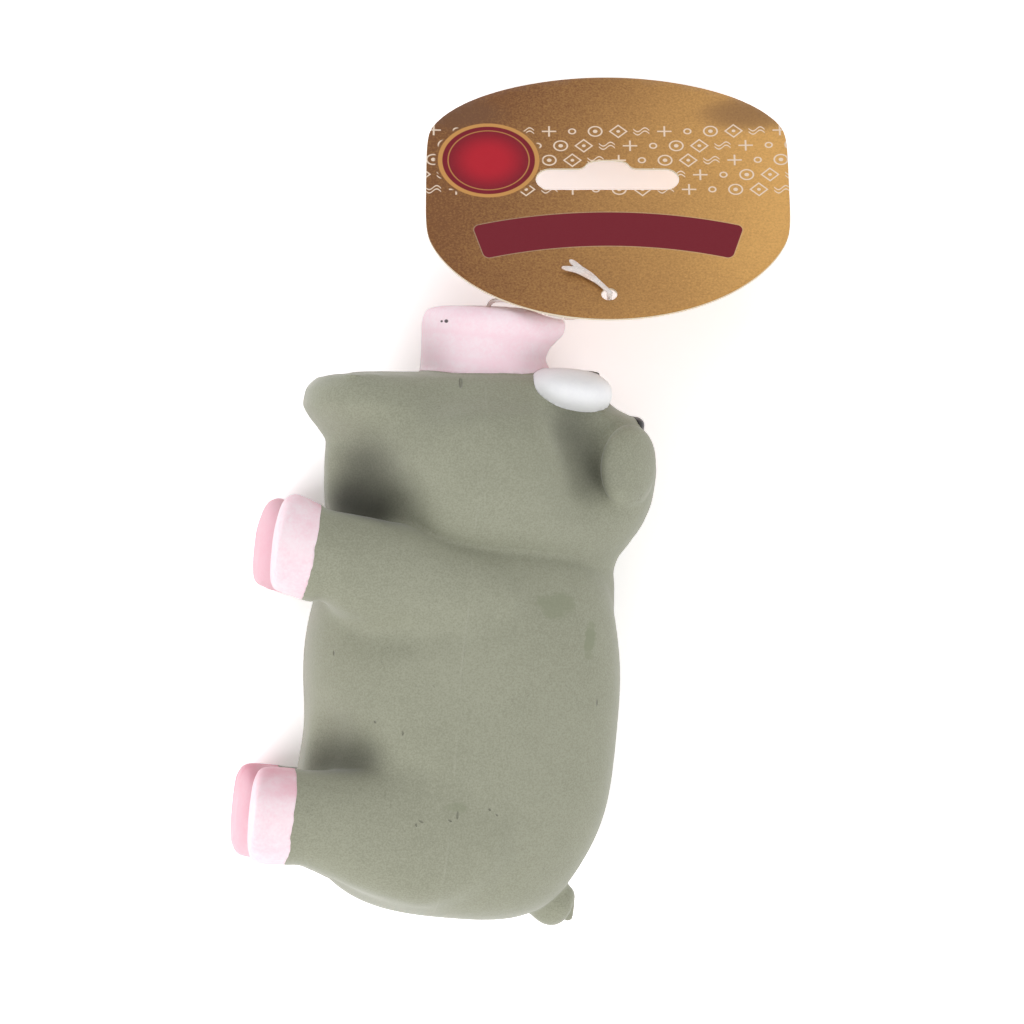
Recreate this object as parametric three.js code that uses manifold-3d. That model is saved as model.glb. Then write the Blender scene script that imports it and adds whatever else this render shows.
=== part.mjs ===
// Squeaky latex dog toy: a fat, hoofed animal lying on its right side, with a card tag pinned to its snout.
// The animal is modelled standing (x forward, y to its left, z up, millimetres) and then laid down.
import * as THREE from 'three';
import { mergeVertices } from 'three/addons/utils/BufferGeometryUtils.js';
import Module from 'manifold-3d';

const wasm = await Module();
wasm.setup();

const DEGREE = THREE.MathUtils.DEG2RAD;
const FULL_TURN = 2 * Math.PI;

// Clearances and walls shared by the pieces
const GAP = 0.3;
const WALL = 2;
const FLAT_CUT = 0.5;
const CUT_REACH = 300;
const WELD = 1e-5;

// How the toy lies: belly rolled up a little, nose turned to one side
const ROLL_ANGLE = 7 * DEGREE;
const YAW_ANGLE = 5.4 * DEGREE;

// Body: a full barrel, deeper below its axis than above
// A round share of 1 makes a section oval, and a smaller one makes it squarer
const BODY = { middle: 4.5, reach: 45, back: 33.3, belly: 37.6, halfWidth: 29.5 };
const BODY_FULLNESS = 3.1;
const BODY_ROUND_SHARE = 0.8;
const BODY_PEAR_SHARE = 0.06;
const BODY_STEPS = 14;
const FILLING_SKIP_STEPS = 2;
const TRUNK_SIDES = 20;

// Head: from inside the shoulders to the flat, slightly sloping face, with a heavy jowl under its front
const HEAD = { rootInset: 21.5, ahead: 31.5, crown: 36.8, jaw: 42.6, girthShare: 1.003 };
const HEAD_ROUND_SHARE = 0.833;
const HEAD_PEAR_SHARE = 0.1;
const FACE_SLOPE_SHARE = 0.111;
const NECK = { inset: 10.2, leanAngle: 6.3 * DEGREE };
// Each row: share of the length from the rear, of the crown, of the jaw, of the half-width
const HEAD_SHARES = [
  [0, 0.76, 0.66, 0.81],
  [0.075, 0.821, 0.71, 0.845],
  [0.151, 0.815, 0.75, 0.85],
  [0.213, 0.802, 0.775, 0.85],
  [0.264, 0.818, 0.8, 0.86],
  [0.321, 0.872, 0.822, 0.88],
  [0.415, 0.954, 0.857, 0.94],
  [0.504, 0.992, 0.871, 0.985],
  [0.596, 1, 0.876, 1],
  [0.679, 0.978, 0.873, 0.995],
  [0.745, 0.932, 0.915, 0.98],
  [0.804, 0.886, 0.967, 0.953],
  [0.862, 0.734, 1, 0.9],
  [0.919, 0.606, 0.993, 0.81],
  [0.968, 0.462, 0.953, 0.69],
  [0.992, 0.353, 0.892, 0.57],
  [1, 0.217, 0.798, 0.44],
];

// Snout: a short oval trunk that flares to a rim and has a domed front
const SNOUT = { rootInset: 9, ahead: 14.6, top: 13.5, underside: 18.1, halfWidth: 16.5 };
const SNOUT_SLOPE_SHARE = 0.04;
const SNOUT_ROUND_SHARE = 0.8;
const SNOUT_SIDES = 16;
const SNOUT_SHARES = [
  [0, 0.7, 0.83, 0.85],
  [0.26, 0.85, 0.96, 0.98],
  [0.43, 0.815, 0.972, 0.955],
  [0.53, 0.726, 0.978, 0.93],
  [0.66, 0.852, 0.989, 0.95],
  [0.78, 0.985, 1, 0.99],
  [0.85, 1, 0.994, 1],
  [0.92, 0.92, 0.961, 0.965],
  [0.966, 0.74, 0.856, 0.85],
  [0.99, 0.37, 0.55, 0.51],
];
const NOSTRIL = { apart: 13, below: 2.2, depth: 1.3, halfWidth: 2.6, halfHeight: 3.8 };

// Limbs: root in the body, paint line, and a hoof with a flat sole
const SOLE_DEPTH = 46.5;
const PAINT_DEPTH = 39;
const PRESS_DEPTH = 0.25;
const LIMB_ROUND_SHARE = 0.91;
const LIMB_SIDES = 12;
const FRONT_LIMB = { reachShare: 0.747, halfLength: 11.9, halfWidth: 11.9 };
const REAR_LIMB = { reachShare: -0.549, halfLength: 15, halfWidth: 11.9 };
// Each row: share of the sole's depth, forward shift and half-length (both of the half-length), half-width
const FRONT_LIMB_SHARES = [
  [-0.12, -0.55, 0.3, 0.45],
  [0.02, -0.54, 0.68, 0.76],
  [0.216, -0.525, 0.85, 0.94],
  [0.389, -0.484, 0.95, 0.99],
  [0.54, -0.418, 1, 1],
  [0.67, -0.246, 0.926, 0.983],
  [0.795, -0.066, 0.836, 0.958],
  [0.842, -0.016, 0.926, 0.975],
  [0.929, 0, 0.975, 0.983],
  [0.981, 0, 0.926, 0.933],
  [1, 0, 0.787, 0.79],
];
const REAR_LIMB_SHARES = [
  [-0.16, -0.12, 0.35, 0.45],
  [-0.03, -0.12, 0.74, 0.78],
  [0.2, -0.12, 1, 0.94],
  [0.37, -0.107, 0.947, 0.99],
  [0.497, -0.093, 0.867, 1],
  [0.648, -0.04, 0.76, 0.983],
  [0.795, 0.007, 0.687, 0.958],
  [0.842, 0.007, 0.7, 0.975],
  [0.929, 0, 0.707, 0.983],
  [0.981, 0, 0.673, 0.933],
  [1, 0, 0.573, 0.79],
];

// Ears: rounded flaps rooted on the crown that hang outward
const EAR = {
  halfLength: 9.2, hang: 9.6, thickness: 3.1, behindFace: 18, outShare: 0.588, upShare: 0.783,
  droopAngle: 40 * DEGREE,
};

// Eyes, pupils and brow marks: painted bulges on the front of the head
const EYE = { behindFace: 5.2, outShare: 0.372, upShare: 0.413, long: 7.4, wide: 13, high: 9.8 };
const PUPIL = { radius: 3.1, rise: 1.1, outward: 0.5, up: 3.4 };
const BROW = { behindFace: 8, outShare: 0.22, upShare: 0.832, long: 2.2, wide: 4.2, high: 1.7 };
const SPOT_SIDES = 12;

// Tail: a tapered curl on the rump
const TAIL = {
  thick: 3.1, tip: 1.5, curl: 4.6, tightenShare: 0.33, climb: 4.6, sunk: 2.24,
  backShare: 0.643, turnsShare: 0.8,
};
const TAIL_STEPS = 16;
const TAIL_SIDES = 8;

// Squeaker, gripped by the skin between the hind legs, along its own axis into the body
const SQUEAKER = {
  reachShare: -0.567, flangeRadius: 7, flange: 1.2, barrelRadius: 5.4, mouthRadius: 4.2,
  depth: 13, ease: 1.6,
};
const SQUEAKER_THROAT = { radius: 3, ledge: 2.4 };
const REED_BLOCK = { base: 2, trough: 6.6, channel: 1.7, closedEnd: 0.8 };
const REED = { thickness: 0.25, width: 4.4, length: 6, clamped: 1.9 };
const CAP = { thickness: 0.9, holeRadius: 0.75, ringRadius: 2.2 };
const CAP_HOLE_COUNT = 6;
const ROUND_SIDES = 16;

// Tag: an oval card with straight sides, hung from a punched hole, with a euro slot
const TAG = {
  halfWidth: 40.6, bulge: 0.8, upperCap: 23.3, lowerCap: 32.8, thickness: 0.5, riseShare: 1.4555,
};
const TAG_HOLE = { toFarEdge: 66.8, toNearEdge: 7.5, radius: 1.72, crownShare: 0.864, pastSnout: 1.6 };
const SLOT = { length: 32, width: 6.4, toFarEdge: 28.8, bumpWidth: 10.8, bumpRise: 2.7, bumpFoot: 1.4 };
const CURVE_STEPS = 10;

// Tag pin: cross bar inside the snout, filament through its rim, flat head on the card
const PIN = { radius: 0.5, barRadius: 0.65, barLength: 9, neckRadius: 0.6, belowCard: 0.5 };
const PIN_HEAD = { length: 12.4, narrow: 1.2, wide: 3.6, thick: 0.8, notch: 2.2, heading: 140.5 * DEGREE };
const PIN_STEPS = 22;
const PIN_SIDES = 6;
const PIN_BAR_SIDES = 8;
// Each row: shares of the snout's tip, half-width and rim height
const PIN_ROUTE_SHARES = [
  [0.962, 0.6, -0.4],
  [0.985, 0.64, -0.39],
  [1.006, 0.69, -0.34],
  [1.014, 0.775, -0.2],
  [1.007, 0.875, 0.05],
  [0.995, 0.935, 0.33],
  [0.985, 0.915, 0.62],
  [0.983, 0.86, 0.9],
  [0.991, 0.845, 1.15],
];

// Finishes
function finish(color, roughness) {
  return new THREE.MeshStandardMaterial({ color, roughness, metalness: 0 });
}
const greyLatex = () => finish(0xa0a18d, 0.75);
const pinkPaint = () => finish(0xf7c7d4, 0.55);
const whitePaint = () => finish(0xf2f2f4, 0.45);
const blackPaint = () => finish(0x161416, 0.4);
const clearPlastic = () => finish(0xe9e4da, 0.3);
const whitePlastic = () => finish(0xeceae4, 0.4);
const goldCard = () => finish(0xb08449, 0.5);
const fibre = () => finish(0xe6e4de, 0.95);

// Solids and booleans
function solidOf(geometry) {
  const bare = geometry.index ? geometry.toNonIndexed() : geometry.clone();
  for (const name of Object.keys(bare.attributes)) {
    if (name !== 'position') bare.deleteAttribute(name);
  }
  const merged = mergeVertices(bare, WELD);
  const vertProperties = Float32Array.from(merged.attributes.position.array);
  const triVerts = Uint32Array.from(merged.index.array);
  return new wasm.Manifold(new wasm.Mesh({ numProp: 3, vertProperties, triVerts }));
}

function geometryOf(solid) {
  const mesh = solid.getMesh();
  const geometry = new THREE.BufferGeometry();
  geometry.setAttribute('position', new THREE.BufferAttribute(Float32Array.from(mesh.vertProperties), 3));
  geometry.setIndex(Array.from(mesh.triVerts));
  geometry.computeVertexNormals();
  return geometry;
}

function joined(solids) {
  return solids.reduce((whole, next) => whole.add(next));
}

function block(width, depth, height, matrix) {
  return solidOf(new THREE.BoxGeometry(width, depth, height).applyMatrix4(matrix));
}

function shifted(x, y, z) {
  return new THREE.Matrix4().makeTranslation(x, y, z);
}

// Lofts: closed skins through rings of equal counts, with a fan at each end
function loft(rings) {
  const count = rings[0].length;
  const points = rings.flat();
  const triangles = [];
  for (let r = 0; r + 1 < rings.length; r += 1) {
    for (let k = 0; k < count; k += 1) {
      const here = r * count + k;
      const beside = r * count + ((k + 1) % count);
      triangles.push([here, beside, here + count], [beside, beside + count, here + count]);
    }
  }
  for (const [r, flip] of [[0, true], [rings.length - 1, false]]) {
    const middle = new THREE.Vector3();
    rings[r].forEach((point) => middle.add(point));
    const hub = points.push(middle.divideScalar(count)) - 1;
    for (let k = 0; k < count; k += 1) {
      const edge = [r * count + k, r * count + ((k + 1) % count)];
      triangles.push(flip ? [edge[1], edge[0], hub] : [edge[0], edge[1], hub]);
    }
  }
  const volume = triangles.reduce((sum, [a, b, c]) => (
    sum + points[a].dot(new THREE.Vector3().crossVectors(points[b], points[c]))), 0);
  const order = volume > 0 ? triangles : triangles.map(([a, b, c]) => [a, c, b]);
  const geometry = new THREE.BufferGeometry();
  geometry.setFromPoints(order.flat().map((index) => points[index]));
  return solidOf(geometry);
}

function signedPower(value, exponent) {
  return Math.sign(value) * Math.abs(value) ** exponent;
}

// Ring of a section that lies across the toy's length
function ringAcross({ x, top, bottom, half, slope = 0 }, roundShare, pearShare, sides) {
  const points = [];
  for (let k = 0; k < sides; k += 1) {
    const turn = (FULL_TURN * k) / sides;
    const out = signedPower(Math.cos(turn), roundShare);
    const up = signedPower(Math.sin(turn), roundShare);
    const y = half * out * (1 - pearShare * up);
    const z = (top + bottom) / 2 + ((top - bottom) / 2) * up;
    points.push(new THREE.Vector3(x + slope * z, y, z));
  }
  return points;
}

function bodyRings(inset, coarse = 1) {
  const rings = [];
  const steps = BODY_STEPS / coarse;
  for (let i = 1; i < steps; i += 1) {
    const turn = Math.PI * (i / steps - 1 / 2);
    const along = signedPower(Math.sin(turn), 2 / BODY_FULLNESS);
    const share = Math.cos(turn) ** (2 / BODY_FULLNESS);
    rings.push(ringAcross({
      x: BODY.middle + (BODY.reach - inset) * along,
      top: (BODY.back - inset) * share,
      bottom: -(BODY.belly - inset) * share,
      half: (BODY.halfWidth - inset) * share,
    }, BODY_ROUND_SHARE, BODY_PEAR_SHARE, TRUNK_SIDES / coarse));
  }
  return rings;
}

function tableRings(shares, from, to, sizes, roundShare, pearShare, sides, inset) {
  const slopeFrom = sizes.slopeFrom ?? from;
  const middle = (from + to) / 2;
  const reach = (to - from) / 2 - inset;
  return shares.map(([lengthShare, topShare, bottomShare, widthShare]) => ringAcross({
    x: middle + reach * (2 * lengthShare - 1),
    top: sizes.top * topShare - inset,
    bottom: inset - sizes.bottom * bottomShare,
    half: sizes.halfWidth * widthShare - inset,
    slope: sizes.slope * Math.max(0, (from + (to - from) * lengthShare - slopeFrom) / (to - slopeFrom)),
  }, roundShare, pearShare, sides));
}

// Places along the toy, each from the piece behind it
const bodyFront = BODY.middle + BODY.reach;
const neckTop = bodyFront - NECK.inset;
const face = bodyFront + HEAD.ahead;
const headHalfWidth = BODY.halfWidth * HEAD.girthShare;
const snoutRoot = face - SNOUT.rootInset;
const snoutTip = face + SNOUT.ahead;

function headRings(inset, coarse = 1) {
  const sizes = {
    top: HEAD.crown, bottom: HEAD.jaw, halfWidth: headHalfWidth,
    slope: FACE_SLOPE_SHARE, slopeFrom: neckTop,
  };
  return tableRings(HEAD_SHARES, bodyFront - HEAD.rootInset, face, sizes, HEAD_ROUND_SHARE, HEAD_PEAR_SHARE,
    TRUNK_SIDES / coarse, inset);
}

function snoutRings(inset, coarse = 1) {
  const sizes = {
    top: SNOUT.top, bottom: SNOUT.underside, halfWidth: SNOUT.halfWidth,
    slope: SNOUT_SLOPE_SHARE, slopeFrom: snoutRoot,
  };
  return tableRings(SNOUT_SHARES, snoutRoot, snoutTip, sizes, SNOUT_ROUND_SHARE, 0,
    SNOUT_SIDES / coarse, inset);
}

// The lying toy: its own axes in the row's frame, and how deep its flank reaches
const lying = new THREE.Matrix4()
  .makeRotationZ(-YAW_ANGLE)
  .multiply(new THREE.Matrix4().makeRotationY(ROLL_ANGLE))
  .multiply(new THREE.Matrix4().makeBasis(
    new THREE.Vector3(0, 1, 0), new THREE.Vector3(0, 0, 1), new THREE.Vector3(1, 0, 0)));
const flankDepth = Math.max(...bodyRings(0).flat().map((point) => -point.clone().applyMatrix4(lying).z));
const floorDepth = flankDepth - FLAT_CUT;
lying.premultiply(shifted(0, 0, floorDepth));
const standing = lying.clone().invert();

// Outer side of a limb at a depth below the axis: it comes down to the plane that the flank lies on
function limbOuter(depth) {
  return (floorDepth + depth * Math.sin(ROLL_ANGLE)) / Math.cos(ROLL_ANGLE) + PRESS_DEPTH;
}

function limbRings(limb, shares, side, inset, coarse = 1) {
  const place = BODY.middle + BODY.reach * limb.reachShare;
  return shares.map(([depthShare, shiftShare, alongShare, acrossShare], index) => {
    const depth = SOLE_DEPTH * depthShare;
    const along = limb.halfLength * alongShare - inset;
    const across = limb.halfWidth * acrossShare;
    const middle = side * (limbOuter(depth) - across);
    const lift = index > 0 ? inset * Math.max(0, depthShare) : 0;
    const points = [];
    for (let k = 0; k < LIMB_SIDES; k += coarse) {
      const turn = (FULL_TURN * k) / LIMB_SIDES;
      points.push(new THREE.Vector3(
        place + limb.halfLength * shiftShare + along * signedPower(Math.cos(turn), LIMB_ROUND_SHARE),
        middle + (across - inset) * signedPower(Math.sin(turn), LIMB_ROUND_SHARE),
        lift - depth,
      ));
    }
    return points;
  });
}

const LIMBS = [
  ['front_left', FRONT_LIMB, FRONT_LIMB_SHARES, 1],
  ['front_right', FRONT_LIMB, FRONT_LIMB_SHARES, -1],
  ['rear_left', REAR_LIMB, REAR_LIMB_SHARES, 1],
  ['rear_right', REAR_LIMB, REAR_LIMB_SHARES, -1],
];

function limbForm([, limb, shares, side], inset, coarse = 1) {
  return loft(limbRings(limb, shares, side, inset, coarse));
}

function trunkForm(inset) {
  return joined([loft(bodyRings(inset)), loft(headRings(inset))]);
}

function innerForm(inset, coarse = 1) {
  return joined([
    loft(bodyRings(inset, coarse)),
    loft(headRings(inset, coarse)),
    loft(snoutRings(inset, coarse)),
    ...LIMBS.map((entry) => limbForm(entry, inset, coarse)),
  ]);
}

// Round spots and flaps, each at its place on the head
function onHead(spot, side) {
  return shifted(face - spot.behindFace, side * headHalfWidth * spot.outShare, HEAD.crown * spot.upShare);
}

function bead(long, wide, high, matrix, sides = SPOT_SIDES) {
  return solidOf(new THREE.SphereGeometry(1, sides, sides / 2).scale(long, wide, high).applyMatrix4(matrix));
}

function earForm(side) {
  const matrix = onHead(EAR, side).multiply(new THREE.Matrix4().makeRotationX(-side * EAR.droopAngle));
  return bead(EAR.halfLength, EAR.hang, EAR.thickness, matrix, SNOUT_SIDES);
}

function eyeForm(side, grown) {
  return bead(EYE.long + grown, EYE.wide + grown, EYE.high + grown, onHead(EYE, side), SNOUT_SIDES);
}

function pupilForm(side) {
  const matrix = onHead(EYE, side)
    .multiply(shifted(EYE.long - PUPIL.rise / 2, side * PUPIL.outward, PUPIL.up));
  return bead(PUPIL.rise, PUPIL.radius, PUPIL.radius, matrix);
}

function browForm(side) {
  return bead(BROW.long, BROW.wide, BROW.high, onHead(BROW, side));
}

// Tubes: rings square to a curve
function ringsAlong(curve, radiusAt, steps, sides) {
  const frames = curve.computeFrenetFrames(steps, false);
  const rings = [];
  for (let i = 0; i <= steps; i += 1) {
    const middle = curve.getPointAt(i / steps);
    const ring = [];
    for (let k = 0; k < sides; k += 1) {
      const turn = (FULL_TURN * k) / sides;
      ring.push(middle.clone()
        .addScaledVector(frames.normals[i], radiusAt(i / steps) * Math.cos(turn))
        .addScaledVector(frames.binormals[i], radiusAt(i / steps) * Math.sin(turn)));
    }
    rings.push(ring);
  }
  return rings;
}

function sweep(curve, radiusAt, steps, sides) {
  return loft(ringsAlong(curve, radiusAt, steps, sides));
}

// Tube that curls tighter than its own thickness: a solid between each two rings, joined, less loose crumbs
function curled(curve, radiusAt, steps, sides) {
  const rings = ringsAlong(curve, radiusAt, steps, sides);
  const stretches = rings.slice(1).map((ring, i) => (
    wasm.Manifold.hull([...rings[i], ...ring].map((point) => point.toArray()))));
  return joined(stretches).decompose().reduce((whole, part) => (
    part.volume() > whole.volume() ? part : whole));
}

function tailForm() {
  const rearShare = (1 - TAIL.backShare ** BODY_FULLNESS) ** (1 / BODY_FULLNESS);
  const at = BODY.middle - BODY.reach * rearShare + TAIL.sunk;
  const up = BODY.back * TAIL.backShare;
  const points = [new THREE.Vector3(at + TAIL.climb, 0, up - TAIL.climb)];
  for (let i = 0; i <= TAIL_STEPS; i += 1) {
    const share = i / TAIL_STEPS;
    const turn = FULL_TURN * TAIL.turnsShare * share;
    const radius = TAIL.curl * (1 - TAIL.tightenShare * share);
    const climb = TAIL.climb * share;
    points.push(new THREE.Vector3(
      at - climb - radius * Math.sin(turn) / 2,
      radius * (1 - Math.cos(turn)) - TAIL.curl,
      up + climb + radius * Math.sin(turn) / 2,
    ));
  }
  const curve = new THREE.CatmullRomCurve3(points);
  return curled(curve, (share) => TAIL.thick + (TAIL.tip - TAIL.thick) * share ** 2,
    TAIL_STEPS, TAIL_SIDES);
}

// The punched hole's place and the card's slope: the far edge rests on the floor
const tilt = Math.asin((BODY.halfWidth * TAG.riseShare) / TAG_HOLE.toFarEdge);
const holeHeight = TAG_HOLE.toFarEdge * Math.sin(tilt) + (TAG.thickness / 2) * Math.cos(tilt);
const cardMatrix = shifted(HEAD.crown * TAG_HOLE.crownShare, snoutTip + TAG_HOLE.pastSnout, holeHeight)
  .multiply(new THREE.Matrix4().makeRotationX(-tilt));

// Tag pin, fixed part: cross bar behind the snout's skin, filament out through it and up to the card
function pinForm(grown) {
  const below = TAG.thickness / 2 + PIN.belowCard + GAP;
  const points = PIN_ROUTE_SHARES.map(([tipShare, widthShare, rimShare]) => (
    new THREE.Vector3(snoutTip * tipShare, SNOUT.halfWidth * widthShare, SNOUT.top * rimShare)));
  for (const drop of [below + PIN.belowCard * 2, below]) {
    points.push(new THREE.Vector3(0, 0, -drop).applyMatrix4(cardMatrix).applyMatrix4(standing));
  }
  const filament = sweep(new THREE.CatmullRomCurve3(points, false, 'centripetal'),
    () => PIN.radius + grown, PIN_STEPS, PIN_SIDES);
  const bar = new THREE.CylinderGeometry(PIN.barRadius + grown, PIN.barRadius + grown,
    PIN.barLength + 2 * grown, PIN_BAR_SIDES);
  return filament.add(solidOf(bar.applyMatrix4(shifted(points[0].x, points[0].y, points[0].z))));
}

// Squeaker's own axis: square to the belly where it sits, pointing into the body
function bellyPoint(x) {
  const share = (1 - Math.abs((x - BODY.middle) / BODY.reach) ** BODY_FULLNESS) ** (1 / BODY_FULLNESS);
  return new THREE.Vector3(x, 0, -BODY.belly * share);
}
const squeakerAt = BODY.middle + BODY.reach * SQUEAKER.reachShare;
const squeakerSeat = bellyPoint(squeakerAt);
const bellyRun = bellyPoint(squeakerAt + SQUEAKER.mouthRadius)
  .sub(bellyPoint(squeakerAt - SQUEAKER.mouthRadius));
const squeakerMatrix = shifted(squeakerSeat.x, squeakerSeat.y, squeakerSeat.z)
  .multiply(new THREE.Matrix4().makeRotationY(-Math.atan2(bellyRun.z, bellyRun.x)));

function turned(profile) {
  const points = profile.map(([radius, height]) => new THREE.Vector2(radius, height));
  return new THREE.LatheGeometry(points, ROUND_SIDES);
}

function plug(radius, low, high) {
  return solidOf(turned([[0, low], [radius, low], [radius, high], [0, high]])
    .applyMatrix4(new THREE.Matrix4().makeRotationX(Math.PI / 2)));
}

const innerFlange = WALL + SQUEAKER.ease;

function housingForm() {
  const { flangeRadius, flange, barrelRadius, mouthRadius, depth } = SQUEAKER;
  const outline = plug(flangeRadius, -GAP - flange, -GAP)
    .add(plug(barrelRadius, -GAP - flange, depth))
    .add(plug(flangeRadius, innerFlange, innerFlange + flange));
  return outline
    .subtract(plug(mouthRadius, -CUT_REACH, SQUEAKER_THROAT.ledge - flange - GAP))
    .subtract(plug(SQUEAKER_THROAT.radius, -CUT_REACH, CUT_REACH))
    .subtract(plug(mouthRadius, SQUEAKER_THROAT.ledge, CUT_REACH));
}

function capForm() {
  const seat = SQUEAKER_THROAT.ledge - SQUEAKER.flange - 2 * GAP;
  let cap = plug(SQUEAKER.mouthRadius - GAP, seat - CAP.thickness, seat);
  for (let i = 0; i < CAP_HOLE_COUNT; i += 1) {
    const turn = (FULL_TURN * i) / CAP_HOLE_COUNT;
    const hole = plug(CAP.holeRadius, -CUT_REACH, CUT_REACH)
      .translate([CAP.ringRadius * Math.cos(turn), CAP.ringRadius * Math.sin(turn), 0]);
    cap = cap.subtract(hole);
  }
  return cap;
}

const reedRoot = SQUEAKER_THROAT.ledge + GAP + REED_BLOCK.base + REED.clamped;

function reedBlockForm() {
  const low = SQUEAKER_THROAT.ledge + GAP;
  const radius = SQUEAKER.mouthRadius - GAP;
  const top = low + REED_BLOCK.base + REED_BLOCK.trough;
  const trough = plug(radius, low, top).subtract(
    block(CUT_REACH, CUT_REACH, CUT_REACH,
      shifted(0, CUT_REACH / 2, low + REED_BLOCK.base + CUT_REACH / 2)));
  return trough.subtract(plug(REED_BLOCK.channel, -CUT_REACH, top - REED_BLOCK.closedEnd));
}

function reedClipForm() {
  const low = SQUEAKER_THROAT.ledge + 2 * GAP + REED_BLOCK.base;
  const lift = 2 * GAP + REED.thickness;
  return plug(SQUEAKER.mouthRadius - GAP, low, low + REED.clamped - GAP).intersect(
    block(CUT_REACH, CUT_REACH, CUT_REACH, shifted(0, lift + CUT_REACH / 2, 0)));
}

// Assembly
const toy = new THREE.Group();
toy.applyMatrix4(lying);
const object = new THREE.Group();
object.add(toy);

function place(name, solid, material, holder = toy) {
  const mesh = new THREE.Mesh(solid.isBufferGeometry ? solid : geometryOf(solid), material);
  mesh.name = name;
  holder.add(mesh);
  return mesh;
}

const belowFloor = block(CUT_REACH, CUT_REACH, CUT_REACH,
  standing.clone().multiply(shifted(0, 0, -CUT_REACH / 2)));

// Block in front of the neck plane, moved forward or back by a clearance
function aheadOfNeck(shift) {
  return block(CUT_REACH, CUT_REACH, CUT_REACH, shifted(neckTop + shift, 0, HEAD.crown * HEAD_SHARES[3][1])
    .multiply(new THREE.Matrix4().makeRotationY(NECK.leanAngle))
    .multiply(shifted(CUT_REACH / 2, 0, 0)));
}

const belowPaint = (shift) => block(CUT_REACH, CUT_REACH, CUT_REACH,
  shifted(0, 0, shift - PAINT_DEPTH - CUT_REACH / 2));

const cavity = innerForm(WALL);
const trunk = trunkForm(0);
const grownTrunk = trunkForm(-GAP);
const grownHead = loft(headRings(-GAP));
const grownSnout = loft(snoutRings(-GAP));
const grownPin = pinForm(GAP);
const squeakerHole = solidOf(turned([
  [0, -WALL * 2],
  [SQUEAKER.barrelRadius + GAP, -WALL * 2],
  [SQUEAKER.barrelRadius + GAP, WALL * 2],
  [0, WALL * 2],
]).applyMatrix4(new THREE.Matrix4().makeRotationX(Math.PI / 2)).applyMatrix4(squeakerMatrix));

function skin(form) {
  return form.subtract(cavity).subtract(belowFloor);
}

place('body_skin', skin(trunk.subtract(aheadOfNeck(-GAP / 2))).subtract(squeakerHole), greyLatex());
place('head_skin', skin(trunk.intersect(aheadOfNeck(GAP / 2))), greyLatex());

let snoutForm = loft(snoutRings(0)).subtract(grownHead);
for (const side of [1, -1]) {
  snoutForm = snoutForm.subtract(bead(NOSTRIL.depth * 2, NOSTRIL.halfWidth, NOSTRIL.halfHeight,
    shifted(snoutTip, (side * NOSTRIL.apart) / 2, -NOSTRIL.below)));
}
place('snout_skin', skin(snoutForm).subtract(grownPin), pinkPaint());

for (const entry of LIMBS) {
  const form = limbForm(entry, 0);
  place(`leg_${entry[0]}`, skin(form.subtract(belowPaint(GAP / 2)).subtract(grownTrunk)), greyLatex());
  place(`hoof_${entry[0]}`, skin(form.intersect(belowPaint(-GAP / 2))), pinkPaint());
}

for (const [name, side] of [['left', 1], ['right', -1]]) {
  const eye = eyeForm(side, 0).subtract(grownHead).subtract(grownSnout);
  const grownEye = eyeForm(side, GAP);
  place(`ear_${name}`, earForm(side).subtract(grownTrunk).subtract(belowFloor), greyLatex());
  place(`eye_${name}`, eye.subtract(belowFloor), whitePaint());
  place(`pupil_${name}`, pupilForm(side).subtract(grownEye), blackPaint());
  place(`brow_${name}`, browForm(side).subtract(grownHead), blackPaint());
}
place('tail', tailForm().subtract(grownTrunk), greyLatex());

// Squeaker pieces in the sleeve's own frame
const squeaker = new THREE.Group();
squeaker.applyMatrix4(squeakerMatrix);
toy.add(squeaker);
place('squeaker_housing', housingForm(), whitePlastic(), squeaker);
place('squeaker_cap', capForm(), whitePlastic(), squeaker);
place('squeaker_reed_block', reedBlockForm(), whitePlastic(), squeaker);
place('squeaker_reed_clip', reedClipForm(), whitePlastic(), squeaker);
const reed = place('squeaker_reed',
  new THREE.BoxGeometry(REED.width, REED.thickness, REED.length), whitePlastic(), squeaker);
reed.position.set(0, GAP + REED.thickness / 2, reedRoot - REED.clamped + GAP + REED.length / 2);

// Fibre filling: the skin's inside less the room for the squeaker and the cross bar
const squeakerRoom = solidOf(turned([
  [0, -WALL * 2],
  [SQUEAKER.flangeRadius + GAP, -WALL * 2],
  [SQUEAKER.flangeRadius + GAP, innerFlange + SQUEAKER.flange + GAP],
  [SQUEAKER.barrelRadius + GAP, innerFlange + SQUEAKER.flange + GAP],
  [SQUEAKER.barrelRadius + GAP, SQUEAKER.depth + GAP],
  [0, SQUEAKER.depth + GAP],
]).applyMatrix4(new THREE.Matrix4().makeRotationX(Math.PI / 2)).applyMatrix4(squeakerMatrix));
place('fibre_filling', innerForm(WALL + GAP, FILLING_SKIP_STEPS).subtract(squeakerRoom).subtract(grownPin)
  .subtract(belowFloor), fibre());

// Tag and pin
place('tag_fastener', pinForm(0), clearPlastic());
const card = new THREE.Group();
card.applyMatrix4(cardMatrix);
object.add(card);

function tagShape() {
  const far = TAG_HOLE.toFarEdge;
  const near = -TAG_HOLE.toNearEdge;
  const capHalfWidth = TAG.halfWidth + TAG.bulge;
  const meet = Math.acos(TAG.halfWidth / capHalfWidth);
  const shape = new THREE.Shape();
  shape.absellipse(0, far - TAG.upperCap, capHalfWidth, TAG.upperCap, meet, Math.PI - meet, false);
  shape.absellipse(0, near + TAG.lowerCap, capHalfWidth, TAG.lowerCap, Math.PI + meet, -meet, false);
  shape.closePath();
  return shape;
}

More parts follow.
